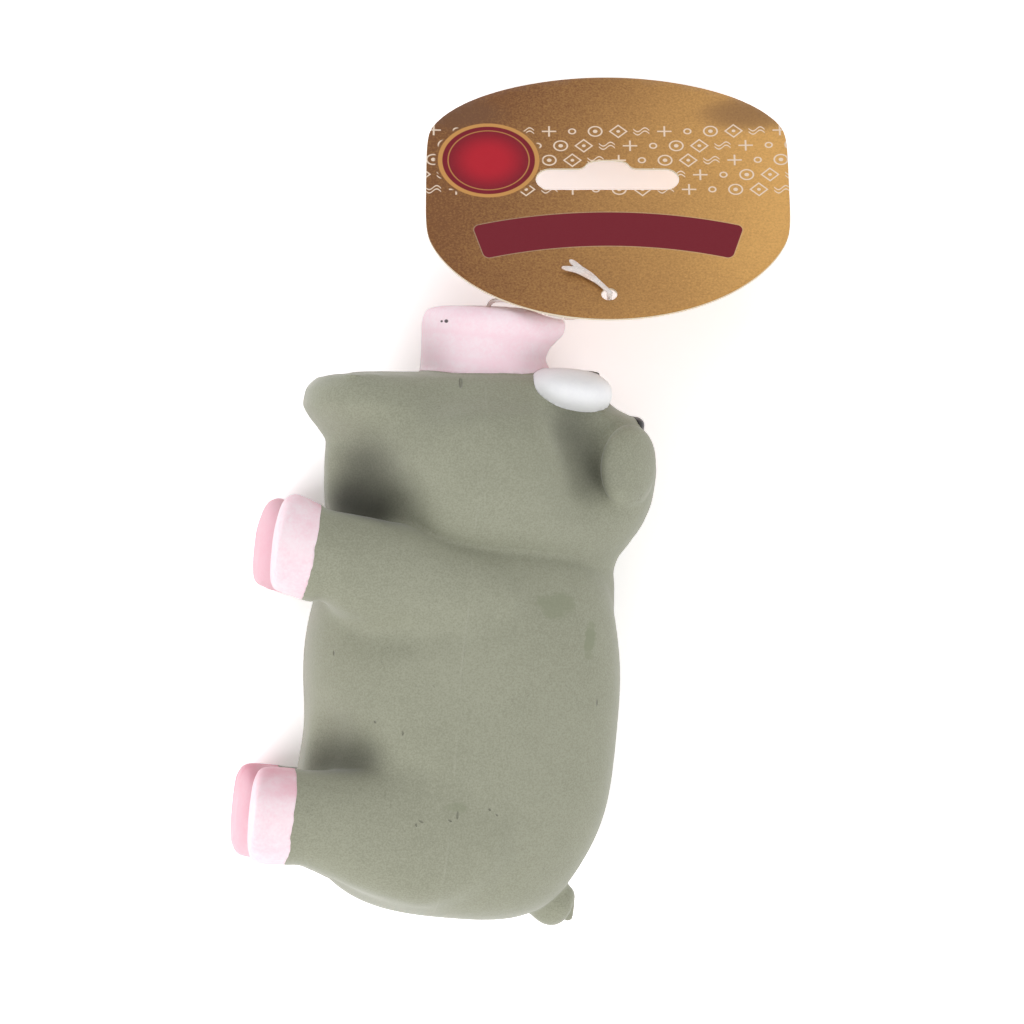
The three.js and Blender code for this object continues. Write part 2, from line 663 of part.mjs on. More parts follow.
function slotPath() {
  const half = SLOT.length / 2;
  const round = SLOT.width / 2;
  const top = TAG_HOLE.toFarEdge - SLOT.toFarEdge;
  const middle = top - round;
  const bump = SLOT.bumpWidth / 2;
  const path = new THREE.Path();
  path.absarc(round - half, middle, round, Math.PI / 2, Math.PI * 1.5, false);
  path.absarc(half - round, middle, round, -Math.PI / 2, Math.PI / 2, false);
  path.lineTo(bump + SLOT.bumpFoot, top);
  path.quadraticCurveTo(bump, top, bump - SLOT.bumpFoot / 2, top + SLOT.bumpRise / 2);
  path.quadraticCurveTo(bump - SLOT.bumpFoot, top + SLOT.bumpRise, 0, top + SLOT.bumpRise);
  path.quadraticCurveTo(SLOT.bumpFoot - bump, top + SLOT.bumpRise, SLOT.bumpFoot / 2 - bump,
    top + SLOT.bumpRise / 2);
  path.quadraticCurveTo(-bump, top, -bump - SLOT.bumpFoot, top);
  path.closePath();
  return path;
}

const tag = tagShape();
const punched = new THREE.Path();
punched.absarc(0, 0, TAG_HOLE.radius, 0, FULL_TURN, false);
tag.holes.push(slotPath(), punched);
const cardGeometry = new THREE.ExtrudeGeometry(tag, {
  depth: TAG.thickness, bevelEnabled: false, curveSegments: CURVE_STEPS,
});
cardGeometry.translate(0, 0, -TAG.thickness / 2);
place('hang_tag', geometryOf(solidOf(cardGeometry)), goldCard(), card);

// Flat head of the pin: it widens from the neck in the hole to a split end
const headShape = new THREE.Shape();
headShape.moveTo(-PIN_HEAD.narrow / 2, -PIN_HEAD.narrow / 2);
headShape.lineTo(PIN_HEAD.length, -PIN_HEAD.wide / 2);
headShape.lineTo(PIN_HEAD.length - PIN_HEAD.notch, 0);
headShape.lineTo(PIN_HEAD.length, PIN_HEAD.wide / 2);
headShape.lineTo(-PIN_HEAD.narrow / 2, PIN_HEAD.narrow / 2);
headShape.closePath();
const headGeometry = new THREE.ExtrudeGeometry(headShape, { depth: PIN_HEAD.thick, bevelEnabled: false });
headGeometry.translate(0, 0, TAG.thickness / 2 + GAP).rotateZ(PIN_HEAD.heading);
const neckLength = TAG.thickness + GAP + PIN.belowCard + PIN_HEAD.thick / 2;
const neckGeometry = new THREE.CylinderGeometry(PIN.neckRadius, PIN.neckRadius, neckLength, PIN_BAR_SIDES);
neckGeometry.rotateX(Math.PI / 2);
neckGeometry.translate(0, 0, neckLength / 2 - TAG.thickness / 2 - PIN.belowCard);
place('fastener_head', solidOf(headGeometry).add(solidOf(neckGeometry)), clearPlastic(), card);

// Origin at the middle of the object's underside
object.updateMatrixWorld(true);
const box = new THREE.Box3().setFromObject(object, true);
object.position.set(-(box.min.x + box.max.x) / 2, -(box.min.y + box.max.y) / 2, -box.min.z);
object.updateMatrixWorld(true);

export default object;
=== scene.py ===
"""Looks of a stuffed, squeaky latex dog toy that lies on its flank, with a card tag pinned to its snout."""

import logging
import math
from dataclasses import dataclass
from enum import Enum
from functools import partial
from typing import Any, Callable, Sequence

import bpy
import numpy as np
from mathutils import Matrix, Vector
from mathutils.geometry import delaunay_2d_cdt


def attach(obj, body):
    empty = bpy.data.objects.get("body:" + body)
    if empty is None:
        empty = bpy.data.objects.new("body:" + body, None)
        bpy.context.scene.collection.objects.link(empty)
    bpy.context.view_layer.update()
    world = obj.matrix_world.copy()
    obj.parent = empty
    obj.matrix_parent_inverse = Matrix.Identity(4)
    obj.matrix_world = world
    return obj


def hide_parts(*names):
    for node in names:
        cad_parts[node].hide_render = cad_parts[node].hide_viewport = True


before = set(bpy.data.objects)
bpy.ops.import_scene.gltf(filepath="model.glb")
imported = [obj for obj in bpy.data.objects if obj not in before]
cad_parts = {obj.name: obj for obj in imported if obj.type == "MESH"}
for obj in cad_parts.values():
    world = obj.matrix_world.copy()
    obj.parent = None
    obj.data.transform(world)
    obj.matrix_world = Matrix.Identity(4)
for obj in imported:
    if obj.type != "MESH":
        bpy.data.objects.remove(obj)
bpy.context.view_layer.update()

Array = np.ndarray
Colour = tuple[float, float, float]
Triple = tuple[float, float, float]
Box = tuple[Triple, Triple]
LOG = logging.getLogger("dog_toy")
MM = 0.001

# The lying toy: its own axes (forward, left, up) as columns, and its place in the row's frame, in millimetres
ROLL = math.radians(7)
YAW = math.radians(5.4)
LYING = np.array([
    [math.sin(YAW), math.cos(YAW) * math.sin(ROLL), math.cos(YAW) * math.cos(ROLL)],
    [math.cos(YAW), -math.sin(YAW) * math.sin(ROLL), -math.sin(YAW) * math.cos(ROLL)],
    [0.0, math.cos(ROLL), -math.sin(ROLL)],
])
LYING_AT = np.array([-10.02278, -53.16028, 28.51809])
# The card: its own axes (across, up, out of its front) as columns, and the place of its punched hole
CARD_TILT = math.radians(40)
CARD_AXES = np.array([
    [1.0, 0.0, 0.0],
    [0.0, math.cos(CARD_TILT), math.sin(CARD_TILT)],
    [0.0, -math.sin(CARD_TILT), math.cos(CARD_TILT)],
])
CARD_AT = np.array([21.77242, 44.03972, 43.12877])
# The box that holds the whole toy, in its own frame
ROOM = ((-46.0, -36.0, -49.5), (99.0, 36.0, 40.0))
# How far below the toy's middle the limbs' tables end, and their hooves' paint starts
LEG_DEPTH = 46.5
PAINT_DEPTH = 39.0
# A distance that stands for nothing near
FAR = 20.0
# How much wider than a painted rise the box is that it is worked out in
MARK_ROOM = 3
# Where the squeaker sits behind the trunk's middle, as a share of the trunk's reach
SQUEAKER_SHARE = 0.567


class Side(Enum):
    """Which side of the toy a paired form is on."""

    LEFT = 1
    RIGHT = -1


class Op(Enum):
    """Steps of shader maths."""

    ADD = "ADD"
    SUBTRACT = "SUBTRACT"
    MULTIPLY = "MULTIPLY"
    DIVIDE = "DIVIDE"
    POWER = "POWER"
    ABSOLUTE = "ABSOLUTE"
    MINIMUM = "MINIMUM"
    MAXIMUM = "MAXIMUM"
    FLOOR = "FLOOR"
    REMAINDER = "FLOORED_MODULO"
    ROOT = "SQRT"
    SINE = "SINE"


def mirrored(box: Box, side: Side) -> Box:
    """A box that is given for the toy's left, on a side.

    Args:
        box: The box.
        side: The side.

    Returns:
        The box on that side.
    """
    (rear, inner, bottom), (front, outer, top) = box
    low, high = sorted((side.value * inner, side.value * outer))
    return (rear, low, bottom), (front, high, top)


def srgb(red: int, green: int, blue: int) -> Colour:
    """Linear colour of the usual 0 to 255 numbers."""
    shares = [value / 255 for value in (red, green, blue)]
    return tuple(s / 12.92 if s <= 0.04045 else ((s + 0.055) / 1.055) ** 2.4 for s in shares)


def to_row(points: Array) -> Array:
    """Points of the toy's own frame, in millimetres, as row points in metres."""
    return (np.asarray(points, float) @ LYING.T + LYING_AT) * MM


def card_to_row(points: Array) -> Array:
    """Points of the card's frame, in millimetres, as row points in metres."""
    return (np.asarray(points, float) @ CARD_AXES.T + CARD_AT) * MM


# ---------------------------------------------------------------- fields and meshes


def smooth_min(a: Array, b: Array, width: Array | float) -> Array:
    """Union of two fields with a fillet of a width in millimetres."""
    near = np.maximum(width - np.abs(a - b), 0) / width
    return np.minimum(a, b) - near ** 3 * width / 6


def smooth_max(a: Array, b: Array, width: Array | float) -> Array:
    """Intersection of two fields with a rounded edge."""
    return -smooth_min(-a, -b, width)


def norm(a: Array, b: Array, power: float) -> Array:
    """Size of a pair of shares by a rounder or squarer rule than Pythagoras."""
    return (np.abs(a) ** power + np.abs(b) ** power) ** (1 / power)


def as_distance(values: Array, step: float) -> Array:
    """Turns a field that is zero on a surface into about millimetres from it."""
    slopes = np.gradient(values, step)
    return values / np.sqrt(sum(slope * slope for slope in slopes) + 1e-9)


class Profile:
    """A smooth curve through a table's rows that never overshoots them."""

    def __init__(self, at: Sequence[float], values: Sequence[float]) -> None:
        """Works out a slope for each row.

        Args:
            at: Places of the rows, rising.
            values: The curve's value at each row.
        """
        self.at = np.array(at, np.float32)
        self.values = np.array(values, np.float32)
        gaps = np.diff(self.at)
        rises = np.diff(self.values) / gaps
        slopes = np.concatenate([rises[:1], (rises[1:] + rises[:-1]) / 2, rises[-1:]])
        flat = rises[1:] * rises[:-1] <= 0
        inner = 2 * rises[1:] * rises[:-1] / np.where(flat, 1, rises[1:] + rises[:-1])
        slopes[1:-1] = np.where(flat, 0, inner)
        self.slopes, self.gaps = slopes, gaps

    def __call__(self, place: Array) -> Array:
        """The curve's values at places, held level beyond its ends.

        Args:
            place: The places.

        Returns:
            A value for each.
        """
        place = np.clip(place, self.at[0], self.at[-1])
        row = np.clip(np.searchsorted(self.at, place, side="right") - 1, 0, len(self.gaps) - 1)
        gap = self.gaps[row]
        t = (place - self.at[row]) / gap
        start, end = self.values[row], self.values[row + 1]
        return (start + t * gap * self.slopes[row] * (1 - t) ** 2
                + (end - start) * t * t * (3 - 2 * t) + t * t * (t - 1) * gap * self.slopes[row + 1])


class Grid:
    """Evenly spaced points in the toy's own frame, in millimetres."""

    def __init__(self, low: Sequence[float], high: Sequence[float], step: float) -> None:
        """Spans a box.

        Args:
            low, high: The box's corners.
            step: Distance between points.
        """
        self.low, self.step = np.array(low, np.float32), step
        counts = np.ceil((np.array(high) - np.array(low)) / step).astype(int) + 1
        self.axes = [self.low[i] + step * np.arange(counts[i], dtype=np.float32) for i in range(3)]

    @property
    def x(self) -> Array:
        """Places forward."""
        return self.axes[0][:, None, None]

    @property
    def y(self) -> Array:
        """Places to the left."""
        return self.axes[1][None, :, None]

    @property
    def z(self) -> Array:
        """Places up."""
        return self.axes[2][None, None, :]

    def part(self, low: Sequence[float], high: Sequence[float]) -> tuple["Grid", tuple[slice, ...]]:
        """A smaller box of the same points.

        Args:
            low, high: The wanted box.

        Returns:
            The smaller grid, and where it is in this one's arrays.
        """
        cuts = []
        for axis, (start, end) in zip(self.axes, zip(low, high)):
            first = int(np.clip(np.searchsorted(axis, start) - 1, 0, len(axis) - 3))
            last = int(np.clip(np.searchsorted(axis, end) + 1, first + 3, len(axis)))
            cuts.append(slice(first, last))
        smaller = Grid([0, 0, 0], [1, 1, 1], self.step)
        smaller.axes = [axis[cut] for axis, cut in zip(self.axes, cuts)]
        smaller.low = np.array([axis[0] for axis in smaller.axes], np.float32)
        return smaller, tuple(cuts)


class Sampler:
    """Reads a field and its slope between the points of its grid."""

    def __init__(self, values: Array, grid: Grid) -> None:
        """Keeps the field.

        Args:
            values: The field on the grid.
            grid: Where its points are.
        """
        self.values, self.grid, self.slopes = values, grid, None

    def _read(self, layers: Sequence[Array], points: Array) -> list[Array]:
        """Values of several arrays at points, by the nearest eight.

        Args:
            layers: The arrays.
            points: The points.

        Returns:
            One row of values for each array.
        """
        at = (points - self.grid.low) / self.grid.step
        limit = np.array(self.values.shape) - 1.001
        at = np.clip(at, 0, limit)
        base = at.astype(int)
        part = at - base
        found = [np.zeros(len(points)) for _ in layers]
        for corner in range(8):
            bits = np.array([corner >> 2 & 1, corner >> 1 & 1, corner & 1])
            weight = np.prod(np.where(bits, part, 1 - part), axis=1)
            index = tuple((base + bits).T)
            for total, layer in zip(found, layers):
                total += weight * layer[index]
        return found

    def value(self, points: Array) -> Array:
        """The field at points."""
        return self._read([self.values], points)[0]

    def onto(self, points: Array, moves: int = 2, least_steep: float = 0.05) -> Array:
        """Points moved square to the surface until they lie on it.

        Args:
            points: The points.
            moves: How often they are moved.
            least_steep: The least square of the field's slope that a move is worked out with.

        Returns:
            The points on the surface.
        """
        if self.slopes is None:
            self.slopes = np.gradient(self.values, self.grid.step)
        for _ in range(moves):
            value, *slope = self._read([self.values, *self.slopes], points)
            slope = np.stack(slope, 1)
            steep = np.maximum((slope * slope).sum(1), least_steep)
            points = points - slope * (value / steep)[:, None]
        return points


def surface_net(values: Array, grid: Grid) -> tuple[Array, Array]:
    """Four-sided mesh of the surface where a field is zero.

    Args:
        values: Signed distances on the grid.
        grid: Where its points are.

    Returns:
        Points in the toy's frame, and quads of their numbers, seen from outside.
    """
    inside = values < 0
    cells = np.array(values.shape) - 1
    strides = np.array([cells[1] * cells[2], cells[2], 1])
    total = np.zeros((4, int(np.prod(cells))))
    crossings = []
    for axis in range(3):
        lead = tuple(slice(0, -1) if n == axis else slice(None) for n in range(3))
        trail = tuple(slice(1, None) if n == axis else slice(None) for n in range(3))
        at = np.argwhere(inside[lead] != inside[trail])
        start, end = values[lead][tuple(at.T)], values[trail][tuple(at.T)]
        where = at.astype(float)
        where[:, axis] += start / (start - end)
        around = [(axis + 1) % 3, (axis + 2) % 3]
        owners = []
        for shift in ((0, 0), (1, 0), (1, 1), (0, 1)):
            cell = at.copy()
            cell[:, around[0]] -= shift[0]
            cell[:, around[1]] -= shift[1]
            valid = ((cell >= 0) & (cell < cells)).all(1)
            number = np.where(valid, cell @ strides, -1)
            owners.append(number)
            for k in range(3):
                total[k] += np.bincount(number[valid], where[valid, k], total.shape[1])
            total[3] += np.bincount(number[valid], minlength=total.shape[1])
        quads = np.stack(owners, 1)
        quads = np.where((start < 0)[:, None], quads, quads[:, ::-1])
        crossings.append(quads[(quads >= 0).all(1)])
    used = np.flatnonzero(total[3])
    numbers = np.full(total.shape[1], -1)
    numbers[used] = np.arange(len(used))
    points = (total[:3, used] / total[3, used]).T * grid.step + grid.low
    return points, numbers[np.concatenate(crossings)]


def relaxed(points: Array, quads: Array, sampler: Sampler, rounds: int) -> Array:
    """Points evened out among their neighbours, and kept on the surface.

    Args:
        points: The points of the mesh.
        quads: Its faces.
        sampler: The surface.
        rounds: How often they are evened out.

    Returns:
        The new points.
    """
    a = quads.ravel()
    b = np.roll(quads, -1, axis=1).ravel()
    count = np.bincount(a, minlength=len(points)) + np.bincount(b, minlength=len(points))
    for _ in range(rounds):
        mean = np.stack([
            (np.bincount(a, points[b, k], len(points)) + np.bincount(b, points[a, k], len(points))) / count
            for k in range(3)], 1)
        points = sampler.onto((points + mean) / 2)
    return points


def triangles_of(points: Array, quads: Array) -> Array:
    """Each quad as two triangles, parted along its shorter diagonal.

    Args:
        points: The points of the mesh.
        quads: Its faces.

    Returns:
        The triangles.
    """
    first = np.linalg.norm(points[quads[:, 0]] - points[quads[:, 2]], axis=1)
    second = np.linalg.norm(points[quads[:, 1]] - points[quads[:, 3]], axis=1)
    turned = np.where((first <= second)[:, None], quads, np.roll(quads, -1, axis=1))
    return np.concatenate([turned[:, [0, 1, 2]], turned[:, [0, 2, 3]]])


def divided(points: Array, faces: Array, level: Array, sampler: Sampler,
            nudge: float = 1e-3) -> tuple[Array, Array, Array]:
    """Cuts triangles along the line where a level is zero.

    Args:
        points: All points.
        faces: The triangles to cut.
        level: A number for each point, below zero inside.
        sampler: The surface that new points are moved onto.
        nudge: What a level nearer to zero than this is taken to be, so that no point lies on the cut.

    Returns:
        All points with the new ones, the triangles inside, and those outside.
    """
    level = np.where(np.abs(level) < nudge, nudge, level)
    inside = level < 0
    state = inside[faces].sum(1)
    mixed = faces[(state == 1) | (state == 2)]
    if not len(mixed):
        return points, faces[state == 3], faces[state == 0]
    alone = inside[mixed] == (inside[mixed].sum(1) == 1)[:, None]
    first = alone.argmax(1)
    rows = np.arange(len(mixed))
    turned = np.stack([mixed[rows, (first + n) % 3] for n in range(3)], 1)
    pairs = np.sort(np.concatenate([turned[:, [0, 1]], turned[:, [0, 2]]]), 1)
    keys, back = np.unique(pairs[:, 0] * len(points) + pairs[:, 1], return_inverse=True)
    start, end = keys // len(points), keys % len(points)
    share = (level[start] / (level[start] - level[end]))[:, None]
    fresh = sampler.onto(points[start] + share * (points[end] - points[start]))
    numbers = len(points) + back.reshape(-1)
    p, q = numbers[:len(mixed)], numbers[len(mixed):]
    tips = np.stack([turned[:, 0], p, q], 1)
    rests = np.concatenate([np.stack([p, turned[:, 1], turned[:, 2]], 1), np.stack([p, turned[:, 2], q], 1)])
    tip_in = inside[turned[:, 0]]
    twice = np.concatenate([tip_in, tip_in])
    inner = np.concatenate([faces[state == 3], tips[tip_in], rests[~twice]])
    outer = np.concatenate([faces[state == 0], tips[~tip_in], rests[twice]])
    return np.concatenate([points, fresh]), inner, outer


def closed(points: Array, faces: Array) -> tuple[Array, Array, int]:
    """Only the points that the triangles use, with each open edge closed by a fan behind it.

    Args:
        points: All points.
        faces: Triangles that are open along some edges.

    Returns:
        The points, the triangles with the fans last, and how many triangles the fans have.
    """
    used, faces = np.unique(faces, return_inverse=True)
    points, faces = points[used], faces.reshape(-1, 3)
    count = len(points)
    edges = np.concatenate([faces[:, [0, 1]], faces[:, [1, 2]], faces[:, [2, 0]]])
    loose = edges[~np.isin(edges[:, 0] * count + edges[:, 1], edges[:, 1] * count + edges[:, 0])]
    after = {int(a): int(b) for a, b in loose}
    extra, fans = [], []
    while after:
        loop = [next(iter(after))]
        while loop[-1] in after:
            loop.append(after.pop(loop[-1]))
        hub = count + len(extra)
        extra.append(points[loop].mean(0))
        fans += [(b, a, hub) for a, b in zip(loop, loop[1:])]
    if fans:
        points = np.concatenate([points, np.array(extra)])
        faces = np.concatenate([faces, np.array(fans)])
    return points, faces, len(fans)


def within(points: Array, loop: Array) -> Array:
    """Which flat points are inside a closed outline.

    Args:
        points: The points.
        loop: The outline.

    Returns:
        True for each point that is inside.
    """
    x, y = points[:, :1], points[:, 1:2]
    ax, ay = loop[:, 0], loop[:, 1]
    bx, by = np.roll(ax, -1), np.roll(ay, -1)
    gap = np.where(by == ay, 1e-12, by - ay)
    crossed = ((ay > y) != (by > y)) & (x < (bx - ax) * (y - ay) / gap + ax)
    return crossed.sum(1) % 2 == 1


def between(points: Array, loops: Sequence[Array]) -> Array:
    """Which flat points are inside the first outline and in none of the holes after it.

    Args:
        points: The points.
        loops: The outline, and then the holes.

    Returns:
        True for each point that is.
    """
    keep = within(points, loops[0])
    for hole in loops[1:]:
        keep &= ~within(points, hole)
    return keep


def circle(radius: float, count: int, turn: int = 1) -> Array:
    """Points round a circle, anticlockwise, or clockwise where turn is -1."""
    turns = turn * np.linspace(0, 2 * math.pi, count, endpoint=False)
    return radius * np.stack([np.cos(turns), np.sin(turns)], 1)


def inset_loop(loop: Array, amount: float) -> Array:
    """A closed outline moved to its left-hand side.

    Args:
        loop: The outline.
        amount: How far.

    Returns:
        The new outline.
    """
    ahead = np.roll(loop, -1, axis=0) - np.roll(loop, 1, axis=0)
    ahead /= np.linalg.norm(ahead, axis=1)[:, None] + 1e-12
    return loop + amount * np.stack([-ahead[:, 1], ahead[:, 0]], 1)


def plate_face(loops: Sequence[Array], inset: float, spacing: float,
               clear: float = 0.45) -> tuple[Array, Array]:
    """Triangles all over a flat outline with holes.

    Args:
        loops: The outline, anticlockwise, and then the holes, clockwise.
        inset: How far within these the triangles end.
        spacing: Distance between the points inside.
        clear: How far these stay off the edges, as a share of the spacing.

    Returns:
        Flat points, those along the edges first, and anticlockwise triangles.
    """
    inner = [inset_loop(loop, inset) for loop in loops]
    low, high = loops[0].min(0), loops[0].max(0)
    across, up = (np.arange(low[i] + spacing / 2, high[i], spacing) for i in range(2))
    lattice = np.stack([part.ravel() for part in np.meshgrid(across, up)], 1)
    edge = np.concatenate(inner)
    gaps = np.linalg.norm(lattice[:, None] - edge[None], axis=2).min(1)
    lattice = lattice[between(lattice, inner) & (gaps > spacing * clear)]
    flat = np.concatenate([edge, lattice])
    sides, start = [], 0
    for loop in inner:
        sides += [(start + i, start + (i + 1) % len(loop)) for i in range(len(loop))]
        start += len(loop)
    cut = delaunay_2d_cdt([Vector(p) for p in flat.tolist()], sides, [], 0, 1e-7)
    flat = np.array([tuple(p) for p in cut[0]])
    faces = np.array([f for f in cut[2] if len(f) == 3])
    faces = faces[between(flat[faces].mean(1), inner)]
    turn = np.cross(flat[faces[:, 1]] - flat[faces[:, 0]], flat[faces[:, 2]] - flat[faces[:, 0]])
    return flat, np.where((turn > 0)[:, None], faces, faces[:, ::-1])


def plate(loops: Sequence[Array], thickness: float, bevel: float,
          spacing: float) -> tuple[Array, list, Array]:
    """A flat plate with holes and softened edges, with points all over it so that it can bend.

    Args:
        loops: The outline, anticlockwise, and then the holes, clockwise.
        thickness: How thick it is.
        bevel: How far its edges are softened.
        spacing: Distance between the points inside.

    Returns:
        Points, faces, and for each face 1 on the cut edge and 0 elsewhere.
    """
    flat, faces = plate_face(loops, bevel, spacing)
    half, count = thickness / 2, len(flat)
    points = [np.column_stack([flat, np.full(count, half)]), np.column_stack([flat, np.full(count, -half)])]
    whole = faces.tolist() + (faces[:, ::-1] + count).tolist()
    rim = [0] * len(whole)
    number, start = 2 * count, 0
    for loop in loops:
        size = len(loop)
        points += [np.column_stack([loop, np.full(size, height)]) for height in (half - bevel, bevel - half)]
        rings = [[start + i for i in range(size)], [number + i for i in range(size)],
                 [number + size + i for i in range(size)], [count + start + i for i in range(size)]]
        for upper, lower in zip(rings, rings[1:]):
            for i in range(size):
                j = (i + 1) % size
                whole.append([upper[j], upper[i], lower[i], lower[j]])
                rim.append(1)
        number += 2 * size
        start += size
    return np.concatenate(points), whole, np.array(rim)


# A direction that no tube starts in, and the turns, from its edge, of the rings of a tube's cap
OFF_AXIS = (0.3, 0.5, 0.8)
CAP_TURNS = (0.5, 1.0, 1.35)


def tube(path: Array, radii: Array, sides: int) -> tuple[Array, list]:
    """A tube along a path, with a rounded cap at each end.

    Args:
        path: Points along its middle.
        radii: Its radius at each of them.
        sides: Points round it.

    Returns:
        Points and faces.
    """
    ahead = np.gradient(path, axis=0)
    ahead /= np.linalg.norm(ahead, axis=1)[:, None]
    side = np.cross(ahead[0], OFF_AXIS)
    rings, turns = [], np.linspace(0, 2 * math.pi, sides, endpoint=False)
    for middle, heading, radius in zip(path, ahead, radii):
        side = side - heading * (side @ heading)
        side /= np.linalg.norm(side)
        other = np.cross(heading, side)
        rings.append((middle, heading, side, other, radius))
    ends = []
    for index, sign in ((0, -1), (-1, 1)):
        middle, heading, side, other, radius = rings[index]
        ends.append([(middle + heading * sign * radius * math.sin(a), heading, side, other,
                      radius * math.cos(a))
                     for a in CAP_TURNS])
    rings = ends[0][::-1] + rings + ends[1]
    points = [middle + radius * (math.cos(t) * side + math.sin(t) * other)
              for middle, _, side, other, radius in rings for t in turns]
    faces = [[r * sides + k, r * sides + (k + 1) % sides,
              (r + 1) * sides + (k + 1) % sides, (r + 1) * sides + k]
             for r in range(len(rings) - 1) for k in range(sides)]
    last = (len(rings) - 1) * sides
    faces += [list(range(sides))[::-1], [last + k for k in range(sides)]]
    return np.array(points), faces


def catmull_rom(knots: Array, count: int) -> Array:
    """Points along a smooth curve through knots that never loops between them.

    Args:
        knots: The points that it passes.
        count: How many points each stretch gets.

    Returns:
        The points.
    """
    full = np.concatenate([[2 * knots[0] - knots[1]], knots, [2 * knots[-1] - knots[-2]]])
    found = []
    for p in (full[i:i + 4] for i in range(len(knots) - 1)):
        t = np.concatenate([[0], np.cumsum(np.sqrt(np.linalg.norm(np.diff(p, axis=0), axis=1)))])
        for s in np.linspace(t[1], t[2], count, endpoint=False):
            level = list(p)
            for spans in (((0, 1), (1, 2), (2, 3)), ((0, 2), (1, 3)), ((1, 2),)):
                level = [(t[b] - s) / (t[b] - t[a]) * level[i] + (s - t[a]) / (t[b] - t[a]) * level[i + 1]
                         for i, (a, b) in enumerate(spans)]
            found.append(level[0])
    return np.array(found + [knots[-1]])


def lathe(profile: Array, sides: int) -> tuple[Array, list]:
    """A ring turned from a closed outline of radius and height.

    Args:
        profile: The outline.
        sides: How many times it stands round the axis.

    Returns:
        Points and faces.
    """
    turns = np.linspace(0, 2 * math.pi, sides, endpoint=False)
    count = len(profile)
    points = [(r * math.cos(t), r * math.sin(t), h) for t in turns for r, h in profile]
    faces = [[s * count + i, s * count + (i + 1) % count, (s + 1) % sides * count + (i + 1) % count,
              (s + 1) % sides * count + i] for s in range(sides) for i in range(count)]
    return np.array(points), [face[::-1] for face in faces]


def softened(profile: Sequence[tuple[float, float]], radius: float, most: float = 0.45) -> Array:
    """A closed outline with each corner rounded by three points.

    Args:
        profile: The outline.
        radius: How far from the corner the rounding starts.
        most: The most that it takes of a side, as a share.

    Returns:
        The points.
    """
    knots, found = np.array(profile, float), []
    for before, corner, after in zip(np.roll(knots, 1, axis=0), knots, np.roll(knots, -1, axis=0)):
        back, ahead = before - corner, after - corner
        reach = min(radius, most * np.linalg.norm(back), most * np.linalg.norm(ahead))
        start = corner + back / np.linalg.norm(back) * reach
        end = corner + ahead / np.linalg.norm(ahead) * reach
        found += [start, (start + end) / 4 + corner / 2, end]
    return np.array(found)


def make_piece(name: str, points: Array, faces: Any, material: bpy.types.Material,
               flat_from: int | None = None) -> bpy.types.Object:
    """A mesh object in the row's frame.

    Args:
        name: The piece's name.
        points: Its points in metres.
        faces: Its faces.
        material: Its finish.
        flat_from: The first of its faces that are shaded flat, if any are.

    Returns:
        The object, linked to the scene.
    """
    mesh = bpy.data.meshes.new(name)
    mesh.from_pydata(np.asarray(points).tolist(), [], faces.tolist() if isinstance(faces, Array) else faces)
    smooth = np.ones(len(mesh.polygons), bool)
    if flat_from is not None:
        smooth[flat_from:] = False
    mesh.polygons.foreach_set("use_smooth", smooth)
    mesh.materials.append(material)
    mesh.validate()
    mesh.update()
    piece = bpy.data.objects.new(name, mesh)
    bpy.context.scene.collection.objects.link(piece)
    return piece


def joined(points: Array, faces: list, more_points: Array, more_faces: list) -> tuple[Array, list]:
    """Two forms as one."""
    return (np.concatenate([points, more_points]),
            faces + [[number + len(points) for number in face] for face in more_faces])


def stand_in(piece: bpy.types.Object, body: str, slot: str, *nodes: str) -> bpy.types.Object:
    """Puts a piece on a body, in place of CAD nodes.

    Args:
        piece: The piece.
        body: The body that it rides on.
        slot: The record's material slot for its finish; not used.
        nodes: The CAD nodes that it replaces.

    Returns:
        The piece.
    """
    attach(piece, body)
    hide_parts(*nodes)
    return piece


# ---------------------------------------------------------------- shader maths


